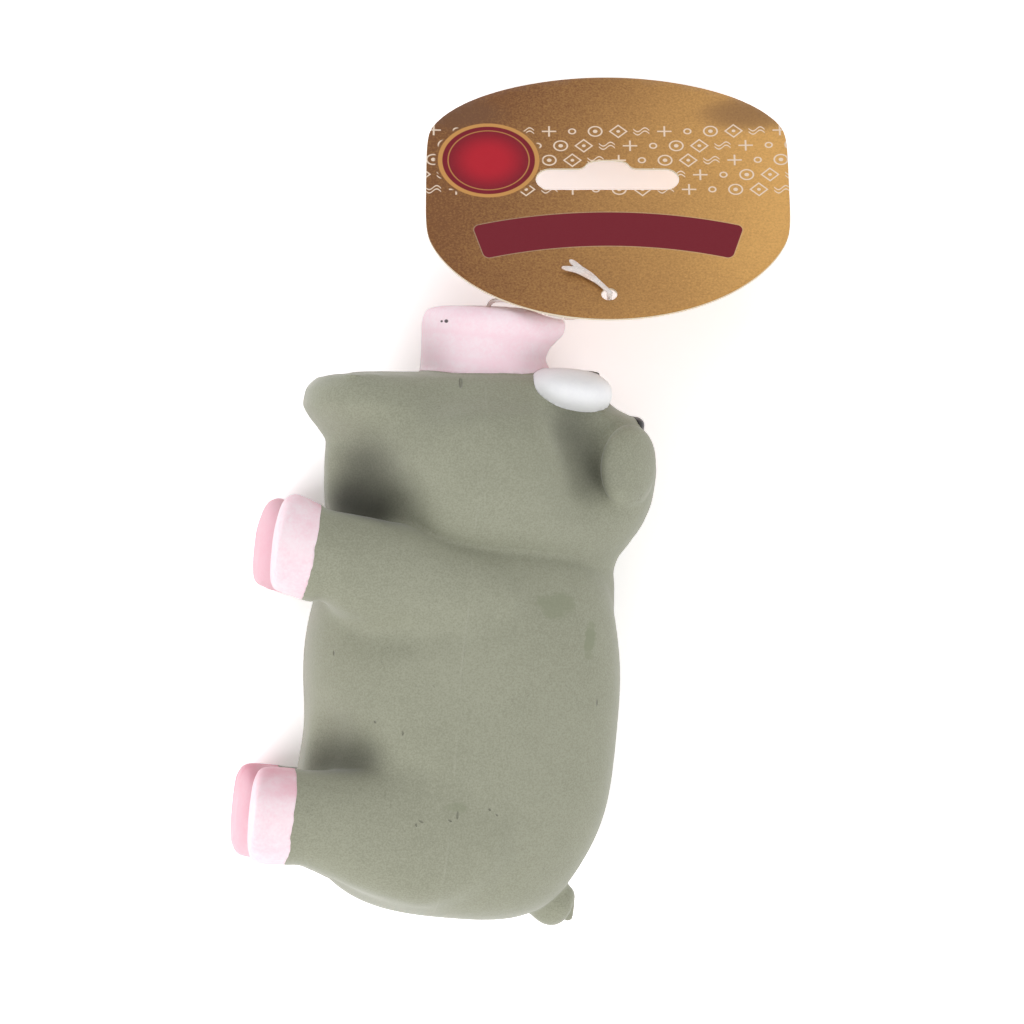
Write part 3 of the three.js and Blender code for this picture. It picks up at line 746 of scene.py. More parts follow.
class Value:
    """A number in a shader. Python's operators on it add Math nodes."""

    def __init__(self, shader: "Shader", socket: bpy.types.NodeSocket) -> None:
        """Wraps a socket of a shader."""
        self.shader, self.socket = shader, socket

    def __add__(self, other: "Value | float") -> "Value":
        """Sum."""
        return self.shader.math(Op.ADD, self, other)

    def __radd__(self, other: float) -> "Value":
        """Sum, the number first."""
        return self.shader.math(Op.ADD, other, self)

    def __sub__(self, other: "Value | float") -> "Value":
        """Difference."""
        return self.shader.math(Op.SUBTRACT, self, other)

    def __rsub__(self, other: float) -> "Value":
        """Difference, the number first."""
        return self.shader.math(Op.SUBTRACT, other, self)

    def __mul__(self, other: "Value | float") -> "Value":
        """Product."""
        return self.shader.math(Op.MULTIPLY, self, other)

    def __rmul__(self, other: float) -> "Value":
        """Product, the number first."""
        return self.shader.math(Op.MULTIPLY, other, self)

    def __truediv__(self, other: "Value | float") -> "Value":
        """Quotient."""
        return self.shader.math(Op.DIVIDE, self, other)

    def __rtruediv__(self, other: float) -> "Value":
        """Quotient, the number first."""
        return self.shader.math(Op.DIVIDE, other, self)

    def __pow__(self, other: "Value | float") -> "Value":
        """Power."""
        return self.shader.math(Op.POWER, self, other)

    def __abs__(self) -> "Value":
        """Size without the sign."""
        return self.shader.math(Op.ABSOLUTE, self)

    def __mod__(self, other: float) -> "Value":
        """Remainder, never below zero."""
        return self.shader.math(Op.REMAINDER, self, other)

    def floor(self) -> "Value":
        """The whole number below."""
        return self.shader.math(Op.FLOOR, self)

    def root(self) -> "Value":
        """Square root."""
        return self.shader.math(Op.ROOT, self)

    def sine(self) -> "Value":
        """Sine."""
        return self.shader.math(Op.SINE, self)

    def least(self, other: "Value | float") -> "Value":
        """The smaller of two."""
        return self.shader.math(Op.MINIMUM, self, other)

    def most(self, other: "Value | float") -> "Value":
        """The larger of two."""
        return self.shader.math(Op.MAXIMUM, self, other)

    def ease(self, low: float, high: float) -> "Value":
        """0 below low, 1 above high and a smooth step between, or the other way round if low is the larger.

        Args:
            low: Where it starts.
            high: Where it ends.

        Returns:
            The step.
        """
        first, last = (low, high) if low < high else (high, low)
        node = self.shader.add("ShaderNodeMapRange", {"interpolation_type": "SMOOTHSTEP"}, {
            "Value": self, "From Min": first, "From Max": last,
            "To Min": float(low > high), "To Max": float(low < high)})
        return Value(self.shader, node.outputs["Result"])


class Shader:
    """Nodes of one material or of the world."""

    def __init__(self, tree: bpy.types.NodeTree) -> None:
        """Starts with an empty tree."""
        tree.nodes.clear()
        self.tree = tree

    def add(self, kind: str, settings: dict[str, Any] | None = None,
            inputs: dict[str | int, Any] | None = None) -> bpy.types.Node:
        """Adds a node.

        Args:
            kind: Its type.
            settings: Its settings, which are set first. A ramp's stops come as "stops".
            inputs: A value or a link for each of its sockets.

        Returns:
            The node.
        """
        node = self.tree.nodes.new(kind)
        for name, value in (settings or {}).items():
            if name == "stops":
                ramp = node.color_ramp
                while len(ramp.elements) < len(value):
                    ramp.elements.new(0.5)
                for element, (place, colour) in zip(ramp.elements, value):
                    element.position, element.color = place, (*colour, 1)
            else:
                setattr(node, name, value)
        for name, value in (inputs or {}).items():
            socket = node.inputs[name]
            if isinstance(value, Value):
                value = value.socket
            if isinstance(value, bpy.types.NodeSocket):
                self.tree.links.new(value, socket)
            elif isinstance(value, tuple) and socket.type == "RGBA":
                socket.default_value = (*value, 1)
            else:
                socket.default_value = value
        return node

    def math(self, op: Op, *values: Value | float) -> Value:
        """A Math node on values or numbers."""
        node = self.add("ShaderNodeMath", {"operation": op.value}, dict(enumerate(values)))
        return Value(self, node.outputs[0])

    def mix(self, share: Value, first: Any, second: Any) -> bpy.types.NodeSocket:
        """A colour between two, by a share from 0 to 1."""
        node = self.add("ShaderNodeMix", {"data_type": "RGBA"}, {0: share, 6: first, 7: second})
        return node.outputs[2]

    def place(self) -> bpy.types.NodeSocket:
        """Where a point is in the row's frame at rest, in metres."""
        return self.add("ShaderNodeTexCoord").outputs["Object"]

    def axes(self, place: bpy.types.NodeSocket, at: Array, directions: Array) -> list[Value]:
        """How far a place is along directions from a point, in millimetres.

        Args:
            place: The place, in metres.
            at: The point, in millimetres.
            directions: Unit directions in the row's frame.

        Returns:
            One number for each direction.
        """
        moved = self.add("ShaderNodeVectorMath", {"operation": "SUBTRACT"}, {0: place, 1: tuple(at * MM)})
        found = []
        for direction in directions:
            node = self.add("ShaderNodeVectorMath", {"operation": "DOT_PRODUCT"},
                            {0: moved.outputs[0], 1: tuple(direction / MM)})
            found.append(Value(self, node.outputs["Value"]))
        return found

    def toy_axes(self, place: bpy.types.NodeSocket) -> list[Value]:
        """How far forward, left and up a place is on the toy, in millimetres."""
        return self.axes(place, LYING_AT, LYING.T)

    def noise(self, place: bpy.types.NodeSocket, size: float, detail: float = 2.0,
              rough: float = 0.5, bend: float = 0.0) -> Value:
        """Soft random patches.

        Args:
            place: Where.
            size: How large the patches are, in millimetres.
            detail: How many finer layers they have.
            rough: How strong the finer layers are.
            bend: How much the patches are bent.

        Returns:
            About 0.3 to 0.7.
        """
        node = self.add("ShaderNodeTexNoise", {}, {
            "Vector": place, "Scale": 1000 / size, "Detail": detail, "Roughness": rough, "Distortion": bend})
        return Value(self, node.outputs[0])

    def sway(self, place: bpy.types.NodeSocket, size: float, amount: float, detail: float = 2.0,
             rough: float = 0.5) -> Value:
        """Soft random patches about 0 instead of 0.5, by an amount."""
        return (self.noise(place, size, detail, rough) - 0.5) * amount

    def cells(self, place: bpy.types.NodeSocket, size: float) -> Value:
        """Distance to the nearest of scattered points, in cells."""
        node = self.add("ShaderNodeTexVoronoi", {}, {"Vector": place, "Scale": 1000 / size})
        return Value(self, node.outputs["Distance"])

    def bump(self, height: Value, depth: float) -> bpy.types.NodeSocket:
        """A surface normal from a height of 0 to 1 that stands for a depth in millimetres."""
        node = self.add("ShaderNodeBump", {}, {"Strength": 1.0, "Distance": depth * MM, "Height": height})
        return node.outputs["Normal"]

    def surface(self, **inputs: Any) -> None:
        """Ends the material in one shader with these inputs, their names written with _ for a space."""
        body = self.add("ShaderNodeBsdfPrincipled", {}, {
            " ".join(word if word.isupper() else word.capitalize() for word in name.split("_")): value
            for name, value in inputs.items()})
        self.add("ShaderNodeOutputMaterial", {}, {"Surface": body.outputs[0]})


def new_material(name: str) -> tuple[bpy.types.Material, Shader]:
    """A material and the shader that it is drawn with.

    Args:
        name: The name of the material.

    Returns:
        The material and its shader.
    """
    material = bpy.data.materials.new(name)
    material.use_nodes = True
    return material, Shader(material.node_tree)


@dataclass(frozen=True)
class Oval:
    """An oval place on the flank that shows, in millimetres: its middle, and its half length and height."""

    forward: float
    up: float
    long: float
    high: float
    strength: float = 1.0
    slant: float = 0.0

    def away(self, x: Value, z: Value) -> Value:
        """How far a place is from its middle.

        Args:
            x, z: The place, forward and up.

        Returns:
            The square of that, 1 at its edge.
        """
        ahead, rise = x - self.forward, z - self.up
        if self.slant:
            ahead = ahead + rise * self.slant
        return (ahead / self.long) ** 2.0 + (rise / self.high) ** 2.0

    def stain(self, x: Value, z: Value, ragged: Value) -> Value:
        """How much of a soft-edged stain is at a place, from 0 to 1, its edge frayed by ragged patches."""
        return (self.away(x, z) + (ragged - 0.5) * 2.2).ease(1.0, 0.25) * self.strength


@dataclass(frozen=True)
class PaintedFoldShade:
    """Painted shade in a skin fold that light hardly reaches, along a line between two places, forward and
    up.

    reach is how far from the line it ends. It starts outer millimetres from the toy's middle and is full at
    inner.
    """

    start: tuple[float, float]
    end: tuple[float, float]
    reach: float
    outer: float
    inner: float
    strength: float

    def mask(self, x: Value, y: Value, z: Value) -> Value:
        """How much painted shade a place gets, from 0 to 1, on both sides of the toy.

        Args:
            x, y, z: The place, forward, left and up.

        Returns:
            The share.
        """
        ahead, rise = self.end[0] - self.start[0], self.end[1] - self.start[1]
        length = ahead * ahead + rise * rise
        share = (x - self.start[0]) * (ahead / length) + (z - self.start[1]) * (rise / length)
        share = share.most(0.0).least(1.0)
        away = (x - self.start[0] - share * ahead) ** 2.0 + (z - self.start[1] - share * rise) ** 2.0
        return away.root().ease(self.reach, 0.0) * abs(y).ease(self.outer, self.inner) * self.strength


@dataclass(frozen=True)
class GreyLatex:
    """Matt grey-green latex, a little uneven, with stains, pits, a faint mould line and painted shade in its
    deepest folds.
    """

    light: Colour = srgb(161, 162, 143)
    dark: Colour = srgb(144, 145, 126)
    stain: Colour = srgb(134, 139, 115)
    chalk: Colour = srgb(186, 186, 170)
    pit: Colour = srgb(88, 88, 76)
    shadow: Colour = srgb(52, 52, 46)
    blots: tuple[Oval, ...] = (
        Oval(31.0, 14.1, 3.4, 5.2, 0.55), Oval(24.0, 23.0, 5.0, 1.6, 0.75), Oval(-14.5, -4.0, 1.2, 3.0, 0.45))
    slit: Oval = Oval(77.3, -10.5, 1.1, 0.34)
    line_down: float = 5.2
    # Painted shade: the folds by the jaw and front leg, in front of the ear and above the rear leg are
    # darkened
    painted_fold_shades: tuple[PaintedFoldShade, ...] = (
        PaintedFoldShade((48.5, -31.5), (48.0, -26.0), 9.5, 28.0, 21.0, 0.78),
        PaintedFoldShade((50.0, -30.0), (57.0, -29.5), 9.5, 28.0, 20.0, 0.45),
        PaintedFoldShade((69.5, 14.0), (60.0, 20.0), 8.5, 28.0, 22.0, 0.5),
        PaintedFoldShade((-9.0, -31.0), (-8.5, -26.0), 10.0, 29.5, 21.0, 0.52))
    specks: tuple[tuple[float, float, float, float], ...] = (
        (2.2, -22.9, 0.25, 0.22), (0.4, -16.9, 0.45, 0.2), (10.5, 25.9, 0.7, 0.18), (-16.2, -3.5, 0.9, 0.2),
        (-14.4, 3.5, 0.2, 0.25), (-18.2, -11.3, 0.18, 0.5), (-19.0, -12.4, 0.3, 0.2),
        (16.1, -32.6, 0.5, 0.16), (-15.5, 5.2, 0.2, 0.2), (-17.5, -5.0, 0.2, 0.4))

    def marks(self, s: Shader, place: bpy.types.NodeSocket, z: Value,
              near: Value) -> tuple[Value, Value, Value]:
        """Scattered pits, the mould line along the flank, and scuffs, each from 0 to 1.

        Args:
            s: The shader.
            place: Where.
            z: How far up the toy that is.
            near: 1 on the flank that shows.

        Returns:
            The three masks.
        """
        pits = s.cells(place, 13.0).ease(0.034, 0.018) * s.noise(place, 17.0, 0.0).ease(0.5, 0.62)
        line = abs(z + self.line_down + s.sway(place, 30.0, 1.5, 1.0)).ease(0.42, 0.1) * near \
            * s.noise(place, 9.0, 2.0).ease(0.4, 0.62)
        scuffs = s.noise(place, 1.3, 2.0, 0.6, 1.2).ease(0.66, 0.74) * s.noise(place, 11.0).ease(0.52, 0.64)
        return pits, line, scuffs

    def material(self) -> bpy.types.Material:
        """Builds it.

        Returns:
            The material.
        """
        material, s = new_material("grey_latex")
        place = s.place()
        x, y, z = s.toy_axes(place)
        grain = s.noise(place, 0.4, 3.0, 0.7)
        shift = s.sway(place, 30.0, 0.6) + s.sway(place, 3.2, 0.35, 2.0, 0.6) + (grain - 0.5) * 3.0 + 0.5
        colour = s.mix(shift.ease(0.0, 1.0), self.dark, self.light)
        ragged = s.noise(place, 2.4, 3.0, 0.65)
        near = y.ease(2.0, 8.0)
        for blot in self.blots:
            colour = s.mix(blot.stain(x, z, ragged) * near, colour, self.stain)
        # Painted shade, darkening the deepest folds towards the shadow colour
        for fold_shade in self.painted_fold_shades:
            colour = s.mix(fold_shade.mask(x, y, z), colour, self.shadow)
        pits, line, scuffs = self.marks(s, place, z, near)
        slit = self.slit.away(x, z).ease(1.3, 0.4) * near
        for row in self.specks:
            speck = Oval(*row, slant=0.3)
            pits = pits.most((speck.away(x, z) + (ragged - 0.5) * 1.5).ease(1.6, 0.3) * near)
        for share, tint in ((line * 0.14, self.chalk), (slit * 0.4, self.pit), (scuffs * 0.22, self.pit),
                            (pits * 0.5, self.pit)):
            colour = s.mix(share, colour, tint)
        height = grain * 0.5 + s.noise(place, 5.0, 2.0) * 1.6 - pits * 2.2 + line * 0.7 - slit * 4.0
        height = height - scuffs * 0.6
        s.surface(base_color=colour, roughness=(grain - 0.5) * 0.3 + 0.66, normal=s.bump(height, 0.09),
                  specular_IOR_level=0.3, sheen_weight=0.4, sheen_roughness=0.35)
        return material


@dataclass(frozen=True)
class SatinPaint:
    """Brushed paint on latex: full in places, thinner and paler in others."""

    name: str
    full: Colour
    thin: Colour
    gloss: float = 0.5

    def tinted(self, s: Shader, place: bpy.types.NodeSocket, axes: Sequence[Value], colour: Any) -> Any:
        """The colour with what only one kind of paint has."""
        return colour

    def material(self) -> bpy.types.Material:
        """Builds it.

        Returns:
            The material.
        """
        material, s = new_material(self.name)
        place = s.place()
        grain = s.noise(place, 0.7, 2.0, 0.6)
        cover = s.sway(place, 9.0, 1.1, 3.0, 0.55) + s.sway(place, 2.0, 0.5) + (grain - 0.5) * 0.7 + 0.5
        colour = s.mix(cover.ease(0.05, 0.95), self.full, self.thin)
        colour = self.tinted(s, place, s.toy_axes(place), colour)
        height = grain * 0.35 + s.noise(place, 2.6, 2.0) * 0.9
        s.surface(base_color=colour, roughness=(cover - 0.5) * 0.08 + self.gloss, normal=s.bump(height, 0.07),
                  specular_IOR_level=0.25)
        return material


@dataclass(frozen=True)
class HoofPaint(SatinPaint):
    """Paint that is rosier towards the front of each hoof and on the side away from the viewer, in part as
    painted shade.
    """

    rose_and_shade: Colour = srgb(234, 156, 175)

    def tinted(self, s: Shader, place: bpy.types.NodeSocket, axes: Sequence[Value], colour: Any) -> Any:
        """The colour with its rosier tint and painted shade, given for the rear hooves and moved and
        shortened for the front ones.

        Args:
            s: The shader.
            place: Where.
            axes: How far forward, left and up on the toy that is.
            colour: The paint's colour there.

        Returns:
            The new colour.
        """
        x, y, _ = axes
        # Rosier towards each hoof's front, partly paint and partly painted shade; the far side is darker as
        # painted shade
        front = x.ease(9.0, 11.0)
        along = (x + 19.0 - front * 66.0) / (14.0 - front * 3.0) + s.sway(place, 6.0, 1.2)
        rosy_and_shaded = (along.ease(0.0, 1.1) * 0.8 + y.ease(2.0, -12.0) * 0.55).least(1.0)
        return s.mix(rosy_and_shaded, colour, self.rose_and_shade)


@dataclass(frozen=True)
class SnoutPaint(SatinPaint):
    """Paint that is deeper pink along two folds across the snout, with two small dark marks near its front.
    """

    mark: Colour = srgb(22, 20, 22)
    folds: tuple[tuple[float, float, float, float], ...] = ((88.5, 12.0, 1.6, 1.1), (82.6, 10.0, 1.4, 1.5))
    dots: tuple[tuple[float, float, float, float], ...] = ((90.7, 14.2, 0.22, 0.08), (90.6, 15.1, 0.09, 0.03))

    def tinted(self, s: Shader, place: bpy.types.NodeSocket, axes: Sequence[Value], colour: Any) -> Any:
        """The colour with its folds and marks.

        Args:
            s: The shader.
            place: Where.
            axes: How far forward, left and up on the toy that is.
            colour: The paint's colour there.

        Returns:
            The new colour.
        """
        x, y, z = axes
        first, second = (abs(x - at - s.sway(place, size, amount)).ease(width, 0.0)
                         for at, size, amount, width in self.folds)
        colour = s.mix((first + second) * 0.5, colour, self.full)
        large, small = (((x - forward) ** 2.0 + (z + down) ** 2.0).ease(edge, core)
                        for forward, down, edge, core in self.dots)
        return s.mix(large.most(small) * y.ease(0.0, 2.0) * 0.9, colour, self.mark)


@dataclass(frozen=True)
class MouldedPlastic:
    """Plain moulded plastic with a fine, slightly uneven surface."""

    name: str
    light: Colour
    dark: Colour
    gloss: float
    clearness: float = 0.0

    def material(self) -> bpy.types.Material:
        """Builds it.

        Returns:
            The material.
        """
        material, s = new_material(self.name)
        place = s.place()
        cloud = s.noise(place, 3.0, 3.0)
        colour = s.mix(cloud.ease(0.3, 0.7), self.dark, self.light)
        s.surface(base_color=colour, roughness=s.sway(place, 0.6, 0.2) + self.gloss,
                  normal=s.bump(s.noise(place, 1.2, 2.0) + cloud, 0.03), transmission_weight=self.clearness)
        return material


@dataclass(frozen=True)
class LooseFibre:
    """Crimped polyester fibre."""

    light: Colour = srgb(238, 236, 230)
    dark: Colour = srgb(196, 193, 184)

    def material(self) -> bpy.types.Material:
        """Builds it.

        Returns:
            The material.
        """
        material, s = new_material("loose_fibre")
        place = s.place()
        strands = s.noise(place, 1.4, 5.0, 0.7, 3.0)
        s.surface(base_color=s.mix(strands.ease(0.3, 0.65), self.dark, self.light), roughness=0.95,
                  normal=s.bump(strands, 1.2), sheen_weight=0.3)
        return material


@dataclass(frozen=True)
class PrintedCard:
    """Gold card with a plain crimson band, a plain round badge and rows of small outlined shapes, with
    painted light on it.
    """

    lit_gold: Colour = srgb(227, 175, 102)
    shaded_gold: Colour = srgb(124, 80, 46)
    shade: Colour = srgb(112, 79, 58)
    crimson: Colour = srgb(119, 23, 38)
    badge: Colour = srgb(186, 26, 44)
    badge_edge: Colour = srgb(122, 20, 36)
    foil: Colour = srgb(206, 150, 84)
    pale: Colour = srgb(244, 222, 200)
    core: Colour = srgb(226, 214, 190)
    badge_at: tuple[float, float] = (-26.6, 40.6)
    badge_radius: float = 10.4
    rows: tuple[float, float] = (29.4, 51.9)
    pitch: tuple[float, float] = (5.2, 4.5)
    stroke: tuple[float, float] = (0.26, 0.1)
    band_middle: float = -84.3
    band: tuple[float, float] = (98.7, 109.0)
    band_radius: float = 104.0
    band_half: float = 28.4
    band_corner: float = 1.6

    def shapes(self, across: Value, up: Value) -> Value:
        """Rows of rings, crosses, diamonds, dots and waves, each row set half a step aside.

        Args:
            across, up: The place on the card, in millimetres.

        Returns:
            1 on their lines and 0 elsewhere.
        """
        low, high = self.rows
        wide, tall = self.pitch
        row = ((up - low) / tall).floor()
        along = across / wide + (row % 2.0) * 0.5
        column = along.floor()
        u = (along - column - 0.5) * wide
        v = (up - low) - row * tall - tall / 2
        kind = (column * 2.0 + row * 3.0) % 5.0
        radius = (u * u + v * v).root()
        ring = abs(radius - 1.5).ease(*self.stroke).most(radius.ease(0.6, 0.45))
        dot = abs(radius - 0.75).ease(*self.stroke)
        diamond = abs(abs(u) + abs(v) - 1.9).ease(0.34, 0.14).most(radius.ease(0.5, 0.35))
        cross = abs(u).least(abs(v)).ease(0.28, 0.12) * radius.ease(1.7, 1.55)
        wave = abs(abs(v - (u * 1.9).sine() * 0.6) - 0.5).ease(*self.stroke) * abs(u).ease(1.9, 1.7)
        total = None
        for number, shape in enumerate((ring, cross, diamond, dot, wave)):
            share = shape * abs(kind - float(number)).ease(0.6, 0.4)
            total = share if total is None else total.most(share)
        return total * (up.ease(low, low + 0.1) * up.ease(high, high - 0.1))

    def bar(self, across: Value, up: Value) -> Value:
        """How far a place is inside the edge of the curved band, in millimetres.

        Args:
            across, up: The place on the card.

        Returns:
            The distance.
        """
        reach = (across ** 2.0 + (up - self.band_middle) ** 2.0).root()
        slope = abs(across / (up - self.band_middle)) * self.band_radius
        near_end = (self.band_corner - (reach - self.band[0]).least(self.band[1] - reach)).most(0.0)
        near_side = (slope - self.band_half).most(0.0)
        return self.band_corner - (near_end * near_end + near_side * near_side).root()

    def material(self) -> bpy.types.Material:
        """Builds it.

        Returns:
            The material.
        """
        material, s = new_material("printed_card")
        place = s.place()
        across, up, proud = s.axes(place, CARD_AT, CARD_AXES.T)
        grain = s.noise(place, 0.5, 2.0, 0.7)
        # Painted reflection lightens the card towards its right and painted shade darkens it towards its top;
        # the noise is random tone
        tone_and_painted_light = ((across + 44.0) / 88.0).most(0.0) ** 1.35 + s.sway(place, 26.0, 0.22) + (grain - 0.5) * 0.8 \
            - up.ease(42.0, 66.0) * 0.12
        colour = s.mix(tone_and_painted_light.most(0.0).least(1.0), self.shaded_gold, self.lit_gold)
        # Painted shade on the card's bent upper corners
        corner = (((abs(across + 1.0) - 34.0) / 13.0) ** 2.0 + ((up - 55.0) / 6.0) ** 2.0).ease(1.3, 0.0)
        colour = s.mix(corner * 0.6, colour, self.shade)
        front = proud.ease(0.05, 0.15)
        away = ((across - self.badge_at[0]) ** 2.0 + (up - self.badge_at[1]) ** 2.0).root()
        edge = self.badge_radius
        clear = away.ease(edge + 1.4, edge + 1.9)
        colour = s.mix(self.shapes(across, up) * clear * front * 0.95, colour, self.pale)
        colour = s.mix(away.ease(edge + 1.1, edge + 0.9) * front, colour, self.foil)
        disc = s.mix(away.ease(3.0, edge), self.badge, self.badge_edge)
        colour = s.mix(away.ease(edge + 0.1, edge - 0.1) * front, colour, disc)
        colour = s.mix(abs(away - edge + 1.3).ease(0.22, 0.08) * front * 0.7, colour, self.foil)
        inner = self.bar(across, up)
        colour = s.mix(inner.ease(-0.25, -0.05) * front * 0.2, colour, self.pale)
        colour = s.mix(inner.ease(0.0, 0.16) * front, colour, self.crimson)
        rim = s.add("ShaderNodeAttribute", {"attribute_name": "rim"}).outputs["Fac"]
        colour = s.mix(Value(s, rim), colour, self.core)
        s.surface(base_color=colour, roughness=(grain - 0.5) * 0.25 + 0.44,
                  metallic=0.08 * (1.0 - Value(s, rim)),
                  normal=s.bump(grain + s.noise(place, 14.0) * 3.0, 0.03), specular_IOR_level=0.15)
        return material


@dataclass(frozen=True)
class Finishes:
    """Every finish of the toy, built once."""

    latex: bpy.types.Material
    pink: bpy.types.Material
    hoof: bpy.types.Material
    white: bpy.types.Material
    black: bpy.types.Material
    plastic: bpy.types.Material
    film: bpy.types.Material
    fibre: bpy.types.Material
    pin: bpy.types.Material
    card: bpy.types.Material

    @classmethod
    def build(cls) -> "Finishes":
        """Builds them all.

        Returns:
            The finishes.
        """
        return cls(
            latex=GreyLatex().material(),
            pink=SnoutPaint("snout_paint", srgb(254, 220, 231), srgb(255, 236, 243)).material(),
            hoof=HoofPaint("hoof_paint", srgb(252, 216, 227), srgb(255, 238, 244)).material(),
            white=SatinPaint("eye_paint", srgb(246, 246, 249), srgb(253, 253, 254)).material(),
            black=SatinPaint("pupil_paint", srgb(22, 20, 22), srgb(38, 35, 36), 0.3).material(),
            plastic=MouldedPlastic("squeaker_plastic", srgb(238, 236, 228), srgb(226, 223, 212),
                                   0.4).material(),
            film=MouldedPlastic("reed_film", srgb(240, 240, 236), srgb(228, 228, 222), 0.3).material(),
            fibre=LooseFibre().material(),
            pin=MouldedPlastic("pin_plastic", srgb(252, 244, 240), srgb(246, 226, 216),
                               0.25, 0.25).material(),
            card=PrintedCard().material(),
        )


# ---------------------------------------------------------------- the moulding


HEAD_ROWS = (
    (0, .76, .66, .6), (.075, .821, .71, .62), (.151, .815, .75, .64), (.213, .802, .775, .69),
    (.264, .818, .8, .79), (.321, .872, .822, .88), (.415, .954, .857, .948), (.504, .992, .871, .988),
    (.596, 1, .876, 1), (.679, .978, .873, .995), (.745, .932, .915, .98), (.804, .886, .967, .953),
    (.862, .734, 1, .9), (.919, .606, .993, .81), (.968, .462, .953, .69), (.992, .353, .892, .57),
    (1, .217, .798, .44))
SNOUT_ROWS = (
    (0, .7, .83, .85), (.26, .85, .96, .98), (.43, .815, .972, .955), (.53, .726, .978, .93),
    (.62, .77, .986, .94), (.7, .87, .992, .96), (.78, .985, 1, .99), (.85, 1, .994, 1),
    (.92, .92, .961, .965), (.966, .74, .856, .85), (.99, .37, .55, .51))
FRONT_ROWS = (
    (-.12, -.55, .3, .45), (.02, -.54, .68, .76), (.216, -.5, .87, .94), (.389, -.42, .99, .99),
    (.54, -.37, 1.03, 1), (.67, -.24, .95, .983), (.795, -.08, .84, .958), (.842, -.05, .9, .975),
    (.9, .01, .925, .983), (.955, .06, .93, .975), (.985, .06, .885, .95), (1.01, .02, .81, .9),
    (1.04, -.1, .6, .76))
REAR_ROWS = (
    (-.16, -.12, .35, .45), (-.03, -.12, .74, .78), (.2, -.12, 1, .94), (.37, -.107, .947, .99),
    (.497, -.093, .867, 1), (.648, -.04, .76, .983), (.795, .007, .687, .958), (.842, .007, .7, .975),
    (.929, 0, .707, .983), (.981, 0, .69, .95), (1.005, 0, .64, .88), (1.03, 0, .53, .76))


@dataclass(frozen=True)
class Trunk:
    """The barrel of the body, in millimetres. Its section is fuller below, as a pear is."""

    middle: float = 4.5
    reach: float = 45.0
    back: float = 33.3
    belly: float = 37.6
    half_width: float = 29.5
    fullness: float = 3.1
    section: float = 2.5
    pear: float = 0.06
    rounds: int = 3

    def share_at(self, forward: float) -> float:
        """How full the barrel is at a place along it, from 0 to 1."""
        return (1 - abs((forward - self.middle) / self.reach) ** self.fullness) ** (1 / self.fullness)

    def distance(self, g: Grid) -> Array:
        """Its signed distance on a grid.

        Args:
            g: The grid.

        Returns:
            The distances.
        """
        centre, half = (self.back - self.belly) / 2, (self.back + self.belly) / 2
        across = np.abs(g.y) / self.half_width
        size = norm(across, g.z / half, self.section)
        for _ in range(self.rounds):
            up = np.clip((g.z - centre * size) / (half * np.maximum(size, 0.05)), -1, 1)
            size = norm(across / (1 - self.pear * up), (g.z - centre * size) / half, self.section)
        along = (g.x - self.middle) / self.reach
        return as_distance(norm(along, size, self.fullness) - 1, g.step)


@dataclass(frozen=True)
class Lobe:
    """A form along the toy's length, given by a table of shares, in millimetres."""

    rows: tuple[tuple[float, ...], ...]
    root: float
    tip: float
    top: float
    bottom: float
    half_width: float
    section: float
    pear: float
    lean: float
    lean_from: float
    edge: float
    root_edge: float = 2.0

    def distance(self, g: Grid) -> Array:
        """Its signed distance on a grid.

        Args:
            g: The grid.

        Returns:
            The distances.
        """
        places, tops, bottoms, widths = zip(*self.rows)
        lean = self.lean / (self.tip - self.lean_from)
        ahead = g.x > self.lean_from
        x = np.where(ahead, (g.x + self.lean_from * lean * g.z) / (1 + lean * g.z), g.x)
        share = (x - self.root) / (self.tip - self.root)
        top = self.top * Profile(places, tops)(share)
        bottom = -self.bottom * Profile(places, bottoms)(share)
        centre, half = (top + bottom) / 2, (top - bottom) / 2
        up = (g.z - centre) / half
        width = self.half_width * Profile(places, widths)(share) * (1 - self.pear * np.clip(up, -1, 1))
        whole = as_distance(norm(g.y / width, up, self.section) - 1, g.step)
        end = self.root + (self.tip - self.root) * places[-1]
        whole = smooth_max(whole, x - end, self.edge)
        return smooth_max(whole, self.root - x, self.root_edge)


# The snout's own form, which the pin's route follows
SNOUT = Lobe(SNOUT_ROWS, root=72.0, tip=95.6, top=13.5, bottom=18.1, half_width=16.5, section=2.5, pear=0.0,
             lean=0.04, lean_from=72.0, edge=1.4)


@dataclass(frozen=True)
class Limb:
    """A leg with its hoof, in millimetres.

    room is the box that it is worked out in, and paint the stretch of the toy's length that its hoof's paint
    keeps to. slant is how far the paint's edge rises with each millimetre forward of slant_at.
    """

    rows: tuple[tuple[float, ...], ...]
    place: float
    half_length: float
    sole: float
    far_shift: float
    far_size: float
    room: Box
    paint: tuple[float, float]
    slant: float
    slant_at: float
    half_width: float = 11.9
    section: float = 2.2
    past_floor: float = 0.25
    sole_edge: float = 1.6
    root_edge: float = 4.0

    def distance(self, g: Grid, side: Side) -> Array:
        """Its signed distance on a grid.

        Args:
            g: The grid.
            side: Which side of the toy it is on.

        Returns:
            The distances.
        """
        depths, shifts, lengths, widths = zip(*self.rows)
        share = -g.z / LEG_DEPTH
        size, shift = (1.0, 0.0) if side is Side.LEFT else (self.far_size, self.far_shift)
        along = size * self.half_length * Profile(depths, lengths)(share)
        across = self.half_width * Profile(depths, widths)(share)
        outer = (LYING_AT[2] - g.z * math.sin(ROLL)) / math.cos(ROLL) + self.past_floor
        x = g.x - self.place - shift - self.half_length * Profile(depths, shifts)(share)
        y = g.y - side.value * (outer - across)
        whole = as_distance(norm(x / along, y / across, self.section) - 1, g.step)
        whole = smooth_max(whole, -g.z - self.sole, self.sole_edge)
        return smooth_max(whole, g.z + LEG_DEPTH * depths[0], self.root_edge)


